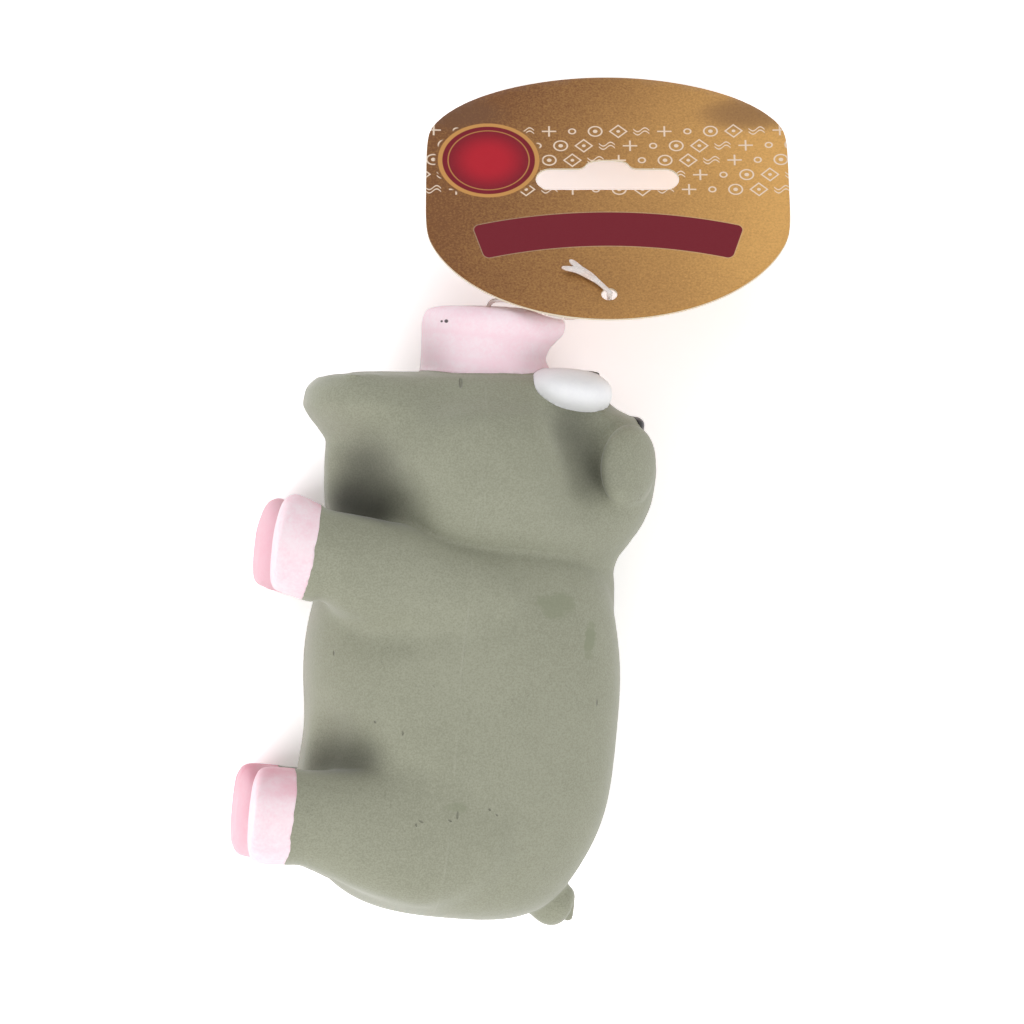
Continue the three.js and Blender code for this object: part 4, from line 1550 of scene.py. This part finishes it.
@dataclass(frozen=True)
class Egg:
    """An egg-like form on both sides of the toy, given for the left, in millimetres.

    power is how square its edge is, 2 for an ellipsoid, and droop its turn about the toy's length.
    """

    at: Triple
    radii: Triple
    fillet: float
    power: float = 2.0
    droop: float = 0.0

    def middle(self, side: Side) -> Triple:
        """Its middle on one side."""
        return self.at[0], side.value * self.at[1], self.at[2]

    def distance(self, g: Grid, side: Side) -> Array:
        """Its signed distance on a grid.

        Args:
            g: The grid.
            side: Which side of the toy it is on.

        Returns:
            The distances.
        """
        x, y, z = (axis - at for axis, at in zip((g.x, g.y, g.z), self.middle(side)))
        turn = -side.value * self.droop
        cosine, sine = math.cos(turn), math.sin(turn)
        a = x / self.radii[0]
        b = (cosine * y + sine * z) / self.radii[1]
        c = (cosine * z - sine * y) / self.radii[2]
        whole = ((a * a + b * b) ** (self.power / 2) + np.abs(c) ** self.power) ** (1 / self.power) - 1
        return as_distance(whole, g.step)


@dataclass(frozen=True)
class Swell:
    """A soft rise or dip of the skin along a line between two points, in millimetres."""

    start: Triple
    end: Triple
    spread: float
    rise: float

    def add_to(self, values: Array, g: Grid) -> None:
        """Moves the surface of a field, on both sides of the toy.

        Args:
            values: The field.
            g: The grid that it is on.
        """
        for side in Side:
            mirror = np.array([1, side.value, 1], np.float32)
            a, b = np.array(self.start, np.float32) * mirror, np.array(self.end, np.float32) * mirror
            reach = 3 * self.spread
            part, cut = g.part(np.minimum(a, b) - reach, np.maximum(a, b) + reach)
            line = b - a
            length = float(line @ line) + 1e-6
            share = np.clip(((part.x - a[0]) * line[0] + (part.y - a[1]) * line[1]
                             + (part.z - a[2]) * line[2]) / length, 0, 1)
            away = ((part.x - a[0] - share * line[0]) ** 2 + (part.y - a[1] - share * line[1]) ** 2
                    + (part.z - a[2] - share * line[2]) ** 2)
            values[cut] -= self.rise * np.exp(-away / (2 * self.spread ** 2))


@dataclass(frozen=True)
class Tail:
    """The curled tail: places and radii along it, in millimetres."""

    knots: tuple[tuple[float, float, float, float], ...] = (
        (-32.0, 1.0, 13.9, 3.3), (-31.6, -0.5, 17.6, 4.2), (-32.8, -1.5, 20.4, 4.4), (-35.6, -2.4, 21.8, 4.2),
        (-36.9, 0.4, 23.0, 3.6), (-35.5, 3.0, 24.0, 3.1), (-33.8, 2.8, 24.8, 2.6), (-33.8, 0.4, 25.8, 2.1),
        (-36.0, -1.2, 26.5, 1.7), (-38.2, -1.4, 26.9, 1.25))
    balls: int = 14
    fillet: float = 3.0
    room: Box = ((-52.0, -10.0, 6.0), (-22.0, 12.0, 42.0))

    def distance(self, g: Grid) -> Array:
        """Its signed distance on a grid, from rows of balls between its knots.

        Args:
            g: The grid.

        Returns:
            The distances.
        """
        whole = np.full(tuple(len(axis) for axis in g.axes), FAR, np.float32)
        for x, y, z, radius in catmull_rom(np.array(self.knots), self.balls):
            ball = np.sqrt((g.x - x) ** 2 + (g.y - y) ** 2 + (g.z - z) ** 2) - radius
            whole = np.minimum(whole, ball)
        return whole


@dataclass
class Moulding:
    """The latex toy: one stuffed skin whose painted parts are pieces of their own, in millimetres.

    The squeaker's hole and pocket are a radius, and the middle and half of a depth.
    """

    finishes: Finishes
    trunk: Trunk = Trunk()
    head: Lobe = Lobe(HEAD_ROWS, root=28.0, tip=81.3, top=36.8, bottom=42.6, half_width=29.59, section=2.4,
                      pear=0.1, lean=0.111, lean_from=39.3, edge=3.5)
    snout: Lobe = SNOUT
    front_limb: Limb = Limb(FRONT_ROWS, place=38.1, half_length=11.9, sole=48.2, far_shift=-0.7,
                            far_size=0.94, room=((10.0, 0.5, -60.0), (60.0, 60.0, 14.0)), paint=(10.0, 57.0),
                            slant=0.11, slant_at=47.3)
    rear_limb: Limb = Limb(REAR_ROWS, place=-20.2, half_length=15.0, sole=47.7, far_shift=-1.9, far_size=1.0,
                           room=((-48.0, 0.5, -60.0), (8.0, 60.0, 14.0)), paint=(-math.inf, 10.0),
                           slant=0.02, slant_at=-10.0)
    tail: Tail = Tail()
    ear: Egg = Egg((62.8, 17.0, 28.4), (9.1, 9.3, 3.9), 1.2, 2.15, math.radians(40))
    ear_room: Box = ((48.8, 2.0, 12.0), (76.8, 40.0, 44.0))
    eye: Egg = Egg((77.95, 11.0, 14.15), (5.1, 12.9, 9.7), 0.6, 2.4)
    pupil: Egg = Egg((82.4, 9.6, 19.0), (0.5, 2.8, 2.8), 0.15)
    brow: Egg = Egg((72.0, 6.5, 30.4), (2.0, 4.4, 2.2), 0.4)
    limb_fillet: float = 5.5
    neck_fillet: float = 2.0
    snout_fillet: float = 1.2
    snout_from: float = 74.0
    floor_edge: float = 0.8
    step: float = 0.65
    quick_step: float = 1.3
    filling_step: float = 2.0
    filling_wall: float = 2.4
    filling_gap: float = 0.9
    squeaker_hole: Triple = (5.75, -0.4, 2.9)
    squeaker_pocket: Triple = (7.5, 8.0, 5.9)
    trunk_pits: tuple[Swell, ...] = (
        Swell((-6.5, 21.0, -26.0), (-5.0, 18.0, -30.5), 5.2, -6.0),
        Swell((-7.0, 27.0, -21.0), (-7.5, 29.0, -14.0), 3.2, -1.1),
        Swell((-1.0, 14.0, -35.0), (-1.0, 0.0, -37.5), 8.0, -0.95),
        Swell((30.0, 12.0, 28.0), (30.0, 0.0, 32.0), 8.0, -0.6),
        Swell((-27.0, 12.0, 23.0), (-27.0, 0.0, 27.0), 8.0, -0.9),
    )
    head_pits: tuple[Swell, ...] = (
        Swell((49.0, 19.0, -24.5), (54.0, 17.5, -31.5), 6.8, -9.0),
        Swell((68.0, 22.5, 16.5), (60.0, 22.0, 20.0), 5.2, -6.8),
        Swell((74.5, 12.0, 27.0), (74.5, 0.0, 28.5), 5.5, -0.8),
        Swell((76.0, 23.5, -17.0), (62.0, 22.0, -28.5), 5.0, -2.8),
        Swell((69.5, 26.0, -22.0), (75.2, 25.0, -15.0), 3.8, -1.6),
        Swell((75.8, 24.5, -13.5), (76.5, 24.5, 9.0), 3.6, -1.9),
        Swell((75.5, 17.0, -33.0), (75.5, 8.0, -34.0), 6.0, 0.5),
    )
    swells: tuple[Swell, ...] = (
        Swell((60.0, 29.5, -9.0), (57.0, 29.0, 2.0), 9.0, 0.8),
        Swell((70.0, 21.0, -32.2), (67.0, 21.0, -36.0), 7.0, 0.5),
        Swell((-14.5, 30.2, -20.0), (-18.0, 29.0, -10.0), 8.0, 0.5),
        Swell((88.5, 14.0, -10.0), (88.5, 14.0, 4.0), 1.3, -0.25),
        Swell((20.8, 26.5, -29.0), (20.8, 28.5, -19.0), 2.6, -1.05),
        Swell((21.0, 28.7, -18.0), (22.8, 29.3, -10.0), 2.6, -0.8),
    )

    def field(self, g: Grid) -> dict[str, Array]:
        """The toy's fields on a grid.

        Args:
            g: The grid.

        Returns:
            The whole toy's signed distances, and for each painted part how much nearer it is than the rest.
        """
        whole = self.trunk.distance(g)
        for pit in self.trunk_pits:
            pit.add_to(whole, g)
        for limb in (self.front_limb, self.rear_limb):
            for side in Side:
                part, cut = g.part(*mirrored(limb.room, side))
                whole[cut] = smooth_min(whole[cut], limb.distance(part, side), self.limb_fillet)
        head = self.head.distance(g)
        for pit in self.head_pits:
            pit.add_to(head, g)
        whole = smooth_min(whole, head, self.neck_fillet)
        part, cut = g.part(*self.tail.room)
        whole[cut] = smooth_min(whole[cut], self.tail.distance(part), self.tail.fillet)
        for side in Side:
            part, cut = g.part(*mirrored(self.ear_room, side))
            whole[cut] = smooth_min(whole[cut], self.ear.distance(part, side), self.ear.fillet)
        snout = self.snout.distance(g)
        marks = {"snout": np.maximum(snout - whole, self.snout_from - g.x)}
        whole = smooth_min(whole, snout, self.snout_fillet)
        for swell in self.swells:
            swell.add_to(whole, g)
        for name, mark in (("eye", self.eye), ("pupil", self.pupil), ("brow", self.brow)):
            marks[name] = np.full(whole.shape, FAR, np.float32)
            for side in Side:
                middle, reach = np.array(mark.middle(side)), np.array(mark.radii) + MARK_ROOM
                part, cut = g.part(middle - reach, middle + reach)
                form = mark.distance(part, side)
                marks[name][cut] = np.minimum(marks[name][cut], form - whole[cut])
                whole[cut] = smooth_min(whole[cut], form, mark.fillet)
        whole = np.maximum(whole, -self.squeaker_seat(g))
        height = LYING_AT[2] + LYING[2, 1] * g.y + LYING[2, 2] * g.z
        marks["whole"] = smooth_max(whole, -height, self.floor_edge).astype(np.float32)
        return marks

    def squeaker_seat(self, g: Grid) -> Array:
        """The round hole in the skin and the pocket behind it, which hold the squeaker, as signed distances.

        Args:
            g: The grid.

        Returns:
            The distances.
        """
        at, axes = squeaker_frame(self.trunk)
        x, y, z = g.x - at[0], g.y - at[1], g.z - at[2]
        depth = x * axes[2][0] + z * axes[2][2]
        away = np.sqrt((x * axes[0][0] + z * axes[0][2]) ** 2 + y * y)
        hole, pocket = (np.maximum(away - radius, np.abs(depth - middle) - half)
                        for radius, middle, half in (self.squeaker_hole, self.squeaker_pocket))
        return np.minimum(pocket, hole)

    def build(self) -> list[bpy.types.Object]:
        """Builds the toy's pieces.

        Returns:
            The grey skin, the painted snout, hooves, eyes, pupils and brow marks, and the filling.
        """
        g = Grid(*ROOM, self.step)
        marks = self.field(g)
        sampler = Sampler(marks["whole"], g)
        points, quads = surface_net(marks["whole"], g)
        points = relaxed(points, quads, sampler, 3)
        rest = triangles_of(points, quads)
        zones = {}
        for name, level in self.levels(marks, g):
            points, zones[name], rest = divided(points, rest, level(points), sampler)
        pieces = [self.skin(points, rest)]
        for name, faces in zones.items():
            if len(faces):
                pieces.append(self.painted(name, points, faces))
        pieces.append(self.filling())
        return pieces

    def levels(self, marks: dict[str, Array], g: Grid) -> list[tuple[str, Callable[[Array], Array]]]:
        """For each painted part, a number that is below zero inside its edge.

        Args:
            marks: How much nearer than the rest each part is.
            g: The grid that they are on.

        Returns:
            Names, each with its rule.
        """
        def wobble(p: Array, size: float) -> Array:
            """A brushed edge's unevenness."""
            return size * (np.sin(p[:, 1] * 0.5 + p[:, 0] * 0.4) + 0.8 * np.sin(p[:, 0] * 1.1 - p[:, 2] * 0.7)
                           + 0.4 * np.sin(p[:, 0] * 2.3 + p[:, 1] * 1.7))

        def marked(p: Array, mark: str, side: Side, size: float) -> Array:
            """Where a raised form is the surface."""
            return np.maximum(Sampler(marks[mark], g).value(p) + wobble(p, size), -side.value * p[:, 1])

        def hoof(p: Array, limb: Limb, side: Side) -> Array:
            """Below the paint's edge on one leg.

            Args:
                p: The points.
                limb: The leg.
                side: Its side.

            Returns:
                Below zero inside.
            """
            start, end = limb.paint
            below = p[:, 2] + PAINT_DEPTH - limb.slant * (p[:, 0] - limb.slant_at) + wobble(p, 0.13)
            return np.maximum.reduce([below, p[:, 0] - end, start - p[:, 0], -side.value * p[:, 1]])

        found = []
        for side in Side:
            word = side.name.lower()
            for mark, size in (("pupil", 0.02), ("brow", 0.05), ("eye", 0.04)):
                found.append((f"{mark}_{word}", partial(marked, mark=mark, side=side, size=size)))
            for end, limb in (("front", self.front_limb), ("rear", self.rear_limb)):
                found.append((f"hoof_{end}_{word}", partial(hoof, limb=limb, side=side)))
        found.append(("snout_skin", lambda p: Sampler(marks["snout"], g).value(p) + wobble(p, 0.06)))
        return found

    def skin(self, points: Array, faces: Array) -> bpy.types.Object:
        """The grey skin of the body, head, legs, ears and tail.

        Args:
            points: The points of the whole surface.
            faces: The triangles outside all the paint.

        Returns:
            The piece.
        """
        points, faces, fans = closed(points, faces)
        piece = make_piece("grey_moulding", to_row(points), faces, self.finishes.latex, len(faces) - fans)
        stand_in(piece, "toy", "latex_grey", "body_skin", "head_skin", "leg_front_left", "leg_front_right",
                 "leg_rear_left", "leg_rear_right", "ear_left", "ear_right", "tail")
        return piece

    def painted(self, node: str, points: Array, faces: Array) -> bpy.types.Object:
        """One painted part, named for the CAD node that it stands for.

        Args:
            node: The CAD node's name.
            points: The points of the whole surface.
            faces: The triangles inside the edge of the paint.

        Returns:
            The piece.
        """
        points, faces, fans = closed(points, faces)
        kind = node.split("_")[0]
        finish, slot = {
            "snout": (self.finishes.pink, "latex_pink"), "hoof": (self.finishes.hoof, "latex_pink"),
            "eye": (self.finishes.white, "paint_white"), "pupil": (self.finishes.black, "paint_black"),
            "brow": (self.finishes.black, "paint_black")}[kind]
        piece = make_piece(f"painted_{node}", to_row(points), faces, finish, len(faces) - fans)
        stand_in(piece, "toy", slot, node)
        return piece if kind in ("snout", "hoof") else piece

    def filling(self) -> bpy.types.Object:
        """The fibre inside, just within the skin and clear of the squeaker.

        Returns:
            The piece.
        """
        g = Grid(*ROOM, self.filling_step)
        values = self.field(g)["whole"] + self.filling_wall
        values = np.maximum(values, self.filling_gap - self.squeaker_seat(g)).astype(np.float32)
        points, quads = surface_net(values, g)
        points = relaxed(points, quads, Sampler(values, g), 1)
        piece = make_piece("stuffing", to_row(points), quads, self.finishes.fibre)
        return stand_in(piece, "toy", "filling_fibre", "fibre_filling")


def squeaker_frame(trunk: Trunk, span: float = 4.2) -> tuple[Array, Array]:
    """Where the squeaker sits in the belly.

    Args:
        trunk: The body.
        span: How far to both sides the belly's slope is taken over.

    Returns:
        Its place, and its own axes, the last one into the body.
    """
    forward = trunk.middle - trunk.reach * SQUEAKER_SHARE
    at = np.array([forward, 0.0, -trunk.belly * trunk.share_at(forward)])
    fall = trunk.share_at(forward - span) - trunk.share_at(forward + span)
    ahead = np.array([2 * span, 0.0, trunk.belly * fall])
    ahead /= np.linalg.norm(ahead)
    return at, np.array([ahead, [0.0, 1.0, 0.0], [-ahead[2], 0.0, ahead[0]]])


@dataclass
class Squeaker:
    """The plastic squeaker that the belly's skin grips, in millimetres."""

    finishes: Finishes
    flange_radius: float = 7.0
    barrel_radius: float = 5.4
    mouth_radius: float = 4.2
    throat_radius: float = 3.0
    flange: float = 1.2
    depth: float = 13.0
    gap: float = 0.3
    ledge: float = 2.4
    inner_flange: float = 3.6
    hole_radius: float = 0.75
    ring_radius: float = 2.2
    hole_count: int = 6
    corner: float = 0.35
    grille_thickness: float = 0.9
    grille_bevel: float = 0.12

    def placed(self, name: str, points: Array, faces: list, node: str) -> bpy.types.Object:
        """A piece of it, put in its place and in place of a CAD node.

        Args:
            name: The name of the piece.
            points: Its points in its own frame.
            faces: Its faces.
            node: The CAD node.

        Returns:
            The piece.
        """
        at, axes = squeaker_frame(Trunk())
        piece = make_piece(name, to_row(points @ axes + at), faces, self.finishes.plastic)
        return stand_in(piece, "toy", "squeaker_plastic", node)

    def sleeve(self) -> bpy.types.Object:
        """The sleeve with its two flanges and the ledge inside.

        Returns:
            The piece.
        """
        outside = -self.gap - self.flange
        step = self.ledge - self.flange - self.gap
        corners = [
            (self.mouth_radius, outside), (self.flange_radius, outside), (self.flange_radius, -self.gap),
            (self.barrel_radius, -self.gap), (self.barrel_radius, self.inner_flange),
            (self.flange_radius, self.inner_flange), (self.flange_radius, self.inner_flange + self.flange),
            (self.barrel_radius, self.inner_flange + self.flange), (self.barrel_radius, self.depth),
            (self.mouth_radius, self.depth), (self.mouth_radius, self.ledge),
            (self.throat_radius, self.ledge), (self.throat_radius, step), (self.mouth_radius, step)]
        points, faces = lathe(softened(corners, self.corner), 72)
        return self.placed("squeaker_sleeve", points, faces, "squeaker_housing")

    def grille(self) -> bpy.types.Object:
        """The round cap with its ring of air holes.

        Returns:
            The piece.
        """
        middles = circle(self.ring_radius, self.hole_count)
        loops = [circle(self.mouth_radius - self.gap, 64),
                 *(at + circle(self.hole_radius, 20, -1) for at in middles)]
        points, faces, _ = plate(loops, self.grille_thickness, self.grille_bevel, 0.8)
        points[:, 2] += self.ledge - self.flange - 2 * self.gap - self.grille_thickness / 2
        return self.placed("squeaker_grille", points, faces, "squeaker_cap")

    def build(self) -> list[bpy.types.Object]:
        """Builds the sleeve and the grille, and finishes the reed and its seat.

        Returns:
            The pieces.
        """
        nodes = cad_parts
        for name, finish in (("squeaker_reed_block", self.finishes.plastic),
                             ("squeaker_reed_clip", self.finishes.plastic),
                             ("squeaker_reed", self.finishes.film)):
            nodes[name].data.materials.clear()
            nodes[name].data.materials.append(finish)
        return [self.sleeve(), self.grille()]


@dataclass
class TagPin:
    """The plastic pin that holds the tag: a cross bar, a filament and a flat split head, in millimetres."""

    finishes: Finishes
    radius: float = 0.5
    bar_radius: float = 0.65
    bar_length: float = 9.0
    neck_radius: float = 0.6
    neck: tuple[float, float] = (-0.45, 0.85)
    sides: int = 16
    length: float = 12.4
    leaf_thickness: float = 0.6
    leaf_up: float = 0.95
    leaf_bevel: float = 0.16
    ridge: tuple[float, float] = (0.35, 0.12)
    curl: float = 0.0045
    bow: float = 0.9
    heading: float = math.radians(140.5)
    route: tuple[tuple[float, float, float], ...] = (
        (.962, .6, -.4), (.985, .64, -.39), (1.003, .69, -.34), (1.009, .775, -.2), (1.005, .875, .05),
        (.995, .935, .33), (.985, .915, .62), (.983, .86, .9), (.991, .845, 1.15))
    behind_card: tuple[float, float] = (-2.05, -1.05)
    leaf: tuple[tuple[float, float], ...] = (
        (-0.6, 0.5), (1.5, 0.55), (4.0, 0.62), (5.5, 0.85), (7.5, 1.02), (9.0, 1.12), (10.2, 1.42),
        (11.3, 1.72), (12.2, 1.62), (12.35, 1.25), (11.9, 0.75), (11.2, 0.35), (10.6, 0.12))
    leaf_end: tuple[tuple[float, float], ...] = ((-0.75, -0.3), (-0.75, 0.3))

    def rod(self, path: Array, radius: float) -> tuple[Array, list]:
        """A round rod along a path."""
        return tube(path, np.full(len(path), radius), self.sides)

    def filament(self) -> bpy.types.Object:
        """The cross bar in the snout and the filament up to the card. Its route is in shares of the snout.

        Returns:
            The piece.
        """
        knots = to_row(np.array(self.route) * (SNOUT.tip, SNOUT.half_width, SNOUT.top)) / MM
        card = card_to_row(np.array([(0, 0, height) for height in self.behind_card])) / MM
        path = catmull_rom(np.concatenate([knots, card]), 8)
        along = np.linspace(-self.bar_length / 2, self.bar_length / 2, 9)[:, None] * LYING[:, 1] + knots[0]
        points, faces = joined(*self.rod(path, self.radius), *self.rod(along, self.bar_radius))
        piece = make_piece("pin_filament", points * MM, faces, self.finishes.pin)
        return stand_in(piece, "toy", "pin_plastic", "tag_fastener")

    def paddle(self) -> bpy.types.Object:
        """The flat head that lies on the card, bent like a leaf and split at its end.

        Returns:
            The piece.
        """
        upper = catmull_rom(np.array(self.leaf), 4)
        outline = np.concatenate([upper[:0:-1] * (1, -1), self.leaf_end, upper])[::-1]
        area = np.sum(outline[:, 0] * np.roll(outline[:, 1], -1) - outline[:, 1] * np.roll(outline[:, 0], -1))
        outline = outline if area > 0 else outline[::-1]
        points, faces, _ = plate([outline], self.leaf_thickness, self.leaf_bevel, 0.7)
        ridge = np.exp(-(points[:, 1] / self.ridge[0]) ** 2) * self.ridge[1] * (points[:, 2] > 0)
        points[:, 2] += ridge + self.leaf_up + self.curl * points[:, 0] ** 2
        points[:, 1] -= self.bow * np.sin(math.pi * np.clip(points[:, 0] / self.length, 0, 1))
        cosine, sine = math.cos(self.heading), math.sin(self.heading)
        turned = np.column_stack([points[:, 0] * cosine - points[:, 1] * sine,
                                  points[:, 0] * sine + points[:, 1] * cosine, points[:, 2]])
        neck = np.column_stack([np.zeros(8), np.zeros(8), np.linspace(*self.neck, 8)])
        points, faces = joined(turned, faces, *self.rod(neck, self.neck_radius))
        piece = make_piece("pin_paddle", card_to_row(points), faces, self.finishes.pin)
        return stand_in(piece, "pin_head", "pin_plastic", "fastener_head")

    def build(self) -> list[bpy.types.Object]:
        """Builds both of its pieces."""
        return [self.filament(), self.paddle()]


@dataclass
class HangTag:
    """The oval card with its punched hole and display slot, in millimetres."""

    finishes: Finishes
    half_width: float = 40.6
    bulge: float = 0.8
    upper_cap: float = 23.3
    lower_cap: float = 32.8
    far_edge: float = 66.8
    near_edge: float = 7.5
    thickness: float = 0.5
    hole_radius: float = 1.72
    slot_length: float = 32.0
    slot_width: float = 6.4
    slot_top: float = 38.0
    bump_width: float = 10.8
    bump_rise: float = 2.7
    bump_foot: float = 1.4
    bevel: float = 0.07
    spacing: float = 1.8
    bend: float = 0.9
    smoothings: int = 10

    def outline(self) -> Array:
        """The card's edge, anticlockwise.

        Returns:
            Its points.
        """
        cap = self.half_width + self.bulge
        meet = math.acos(self.half_width / cap)
        upper = np.linspace(meet, math.pi - meet, 90)
        lower = np.linspace(math.pi + meet, 2 * math.pi - meet, 90)
        top = np.stack([cap * np.cos(upper),
                        self.far_edge - self.upper_cap + self.upper_cap * np.sin(upper)], 1)
        low = np.stack([cap * np.cos(lower),
                        self.lower_cap - self.near_edge + self.lower_cap * np.sin(lower)], 1)
        sides = [np.linspace(a, b, 14)[1:-1] for a, b in ((top[-1], low[0]), (low[-1], top[0]))]
        edge = np.concatenate([top, sides[0], low, sides[1]])
        for _ in range(self.smoothings):
            edge = edge / 2 + (np.roll(edge, 1, axis=0) + np.roll(edge, -1, axis=0)) / 4
        return edge

    def slot(self) -> Array:
        """The display slot's edge, clockwise.

        Returns:
            Its points.
        """
        round_end, half, bump = self.slot_width / 2, self.slot_length / 2, self.bump_width / 2
        middle = self.slot_top - round_end
        left = np.linspace(math.pi / 2, math.pi * 1.5, 18)
        right = np.linspace(-math.pi / 2, math.pi / 2, 18)
        path = [np.stack([round_end - half + round_end * np.cos(left), middle + round_end * np.sin(left)], 1),
                np.stack([half - round_end + round_end * np.cos(right),
                          middle + round_end * np.sin(right)], 1)]
        foot, top, rise = self.bump_foot, self.slot_top, self.bump_rise
        start = (bump + foot, top)
        for pull, end in (((bump, top), (bump - foot / 2, top + rise / 2)),
                          ((bump - foot, top + rise), (0, top + rise)),
                          ((foot - bump, top + rise), (foot / 2 - bump, top + rise / 2)),
                          ((-bump, top), (-bump - foot, top))):
            t = np.linspace(0, 1, 8)[:, None]
            curve = (1 - t) ** 2 * start + 2 * t * (1 - t) * np.array(pull) + t * t * np.array(end)
            path.append(curve[:-1])
            start = np.array(end)
        return np.concatenate([*path, [(-bump - foot, top)]])[::-1]

    def build(self) -> list[bpy.types.Object]:
        """Builds the card, a little bent towards its upper corners.

        Returns:
            The card.
        """
        loops = [self.outline(), self.slot(), circle(self.hole_radius, 36, -1)]
        points, faces, rim = plate(loops, self.thickness, self.bevel, self.spacing)
        away = np.maximum(np.abs(points[:, 0]) - 14, 0) / 26
        points[:, 2] += self.bend * away ** 2 * np.clip((points[:, 1] - 30) / 36, 0, 1)
        piece = make_piece("printed_tag", card_to_row(points), faces, self.finishes.card)
        mark = piece.data.attributes.new("rim", "FLOAT", "FACE")
        mark.data.foreach_set("value", rim.astype(np.float32))
        piece.data.polygons.foreach_set("use_smooth", rim == 0)
        return [stand_in(piece, "tag", "tag_card", "hang_tag")]


@dataclass(frozen=True)
class Lamp:
    """A square soft lamp, in metres and watts."""

    name: str
    at: Triple
    power: float
    size: float = 0.5

    def build(self, target: Triple) -> None:
        """Adds it to the scene, turned towards a target.

        Args:
            target: The point that it faces.
        """
        data = bpy.data.lights.new(self.name, "AREA")
        data.shape, data.size, data.energy = "SQUARE", self.size, self.power
        lamp = bpy.data.objects.new(self.name, data)
        lamp.location = self.at
        lamp.rotation_euler = (Vector(target) - Vector(self.at)).to_track_quat("-Z", "Y").to_euler()
        bpy.context.scene.collection.objects.link(lamp)


@dataclass
class Studio:
    """Pale floor, soft lamps and the camera straight above, in metres."""

    camera_at: Triple = (0.000421, -0.003604, 1.2)
    lens: float = 185.29
    sensor: float = 36.0
    clip: tuple[float, float] = (0.01, 20.0)
    fill: float = 0.54
    lamps: tuple[Lamp, ...] = (
        Lamp("key", (0.6, -0.42, 0.5), 2.67), Lamp("side", (-0.65, -0.38, 0.5), 3.47),
        Lamp("front", (-0.05, 0.75, 0.45), 1.25))
    lamps_face: Triple = (0, 0, 0.02)
    floor_half: float = 3.0
    floor_shade: Colour = (0.94, 0.94, 0.94)
    floor_seen: Colour = (1.72, 1.7, 1.73)

    def camera(self) -> None:
        """The camera at the photograph's place."""
        data = bpy.data.cameras.new("camera")
        data.lens, data.sensor_width, data.sensor_fit = self.lens, self.sensor, "HORIZONTAL"
        data.clip_start, data.clip_end = self.clip
        camera = bpy.data.objects.new("camera", data)
        camera.location = self.camera_at
        bpy.context.scene.collection.objects.link(camera)
        bpy.context.scene.camera = camera

    def shown_white(self, s: Shader) -> Value:
        """1 where the camera, a mirror or glass looks at the background, and 0 for its light.

        Args:
            s: The shader of the floor or the world.

        Returns:
            The share.
        """
        path = s.add("ShaderNodeLightPath").outputs
        return Value(s, path["Is Camera Ray"]).most(Value(s, path["Is Glossy Ray"])) \
            .most(Value(s, path["Is Transmission Ray"]))

    def build(self) -> None:
        """Builds the floor, world, lamps and camera."""
        half = self.floor_half
        material, s = new_material("floor")
        seen = self.shown_white(s)
        colour = s.mix(seen, self.floor_shade, self.floor_seen)
        diffuse = s.add("ShaderNodeBsdfDiffuse", {}, {"Color": colour})
        s.add("ShaderNodeOutputMaterial", {}, {"Surface": diffuse.outputs[0]})
        corners = np.array([(-half, -half, 0), (half, -half, 0), (half, half, 0), (-half, half, 0)])
        floor = make_piece("floor", corners, [[0, 1, 2, 3]], material)
        world = bpy.data.worlds.new("studio")
        world.use_nodes = True
        bpy.context.scene.world = world
        w = Shader(world.node_tree)
        strength = self.shown_white(w) * (1.0 - self.fill) + self.fill
        background = w.add("ShaderNodeBackground", {}, {"Color": (1.0, 1.0, 1.0), "Strength": strength})
        w.add("ShaderNodeOutputWorld", {}, {"Surface": background.outputs[0]})
        for lamp in self.lamps:
            lamp.build(self.lamps_face)
        self.camera()


def main() -> None:
    """Builds the toy, its tag and the studio, and reports each piece."""
    logging.basicConfig(level=logging.INFO, format="%(name)s: %(message)s")
    bpy.context.scene.view_settings.view_transform = "Standard"
    finishes = Finishes.build()
    Studio().build()
    for part in (Moulding(finishes), Squeaker(finishes), TagPin(finishes), HangTag(finishes)):
        for piece in part.build():
            LOG.info("%s: %s, %d faces", type(part).__name__, piece.name, len(piece.data.polygons))


if __name__ == "__main__":
    main()
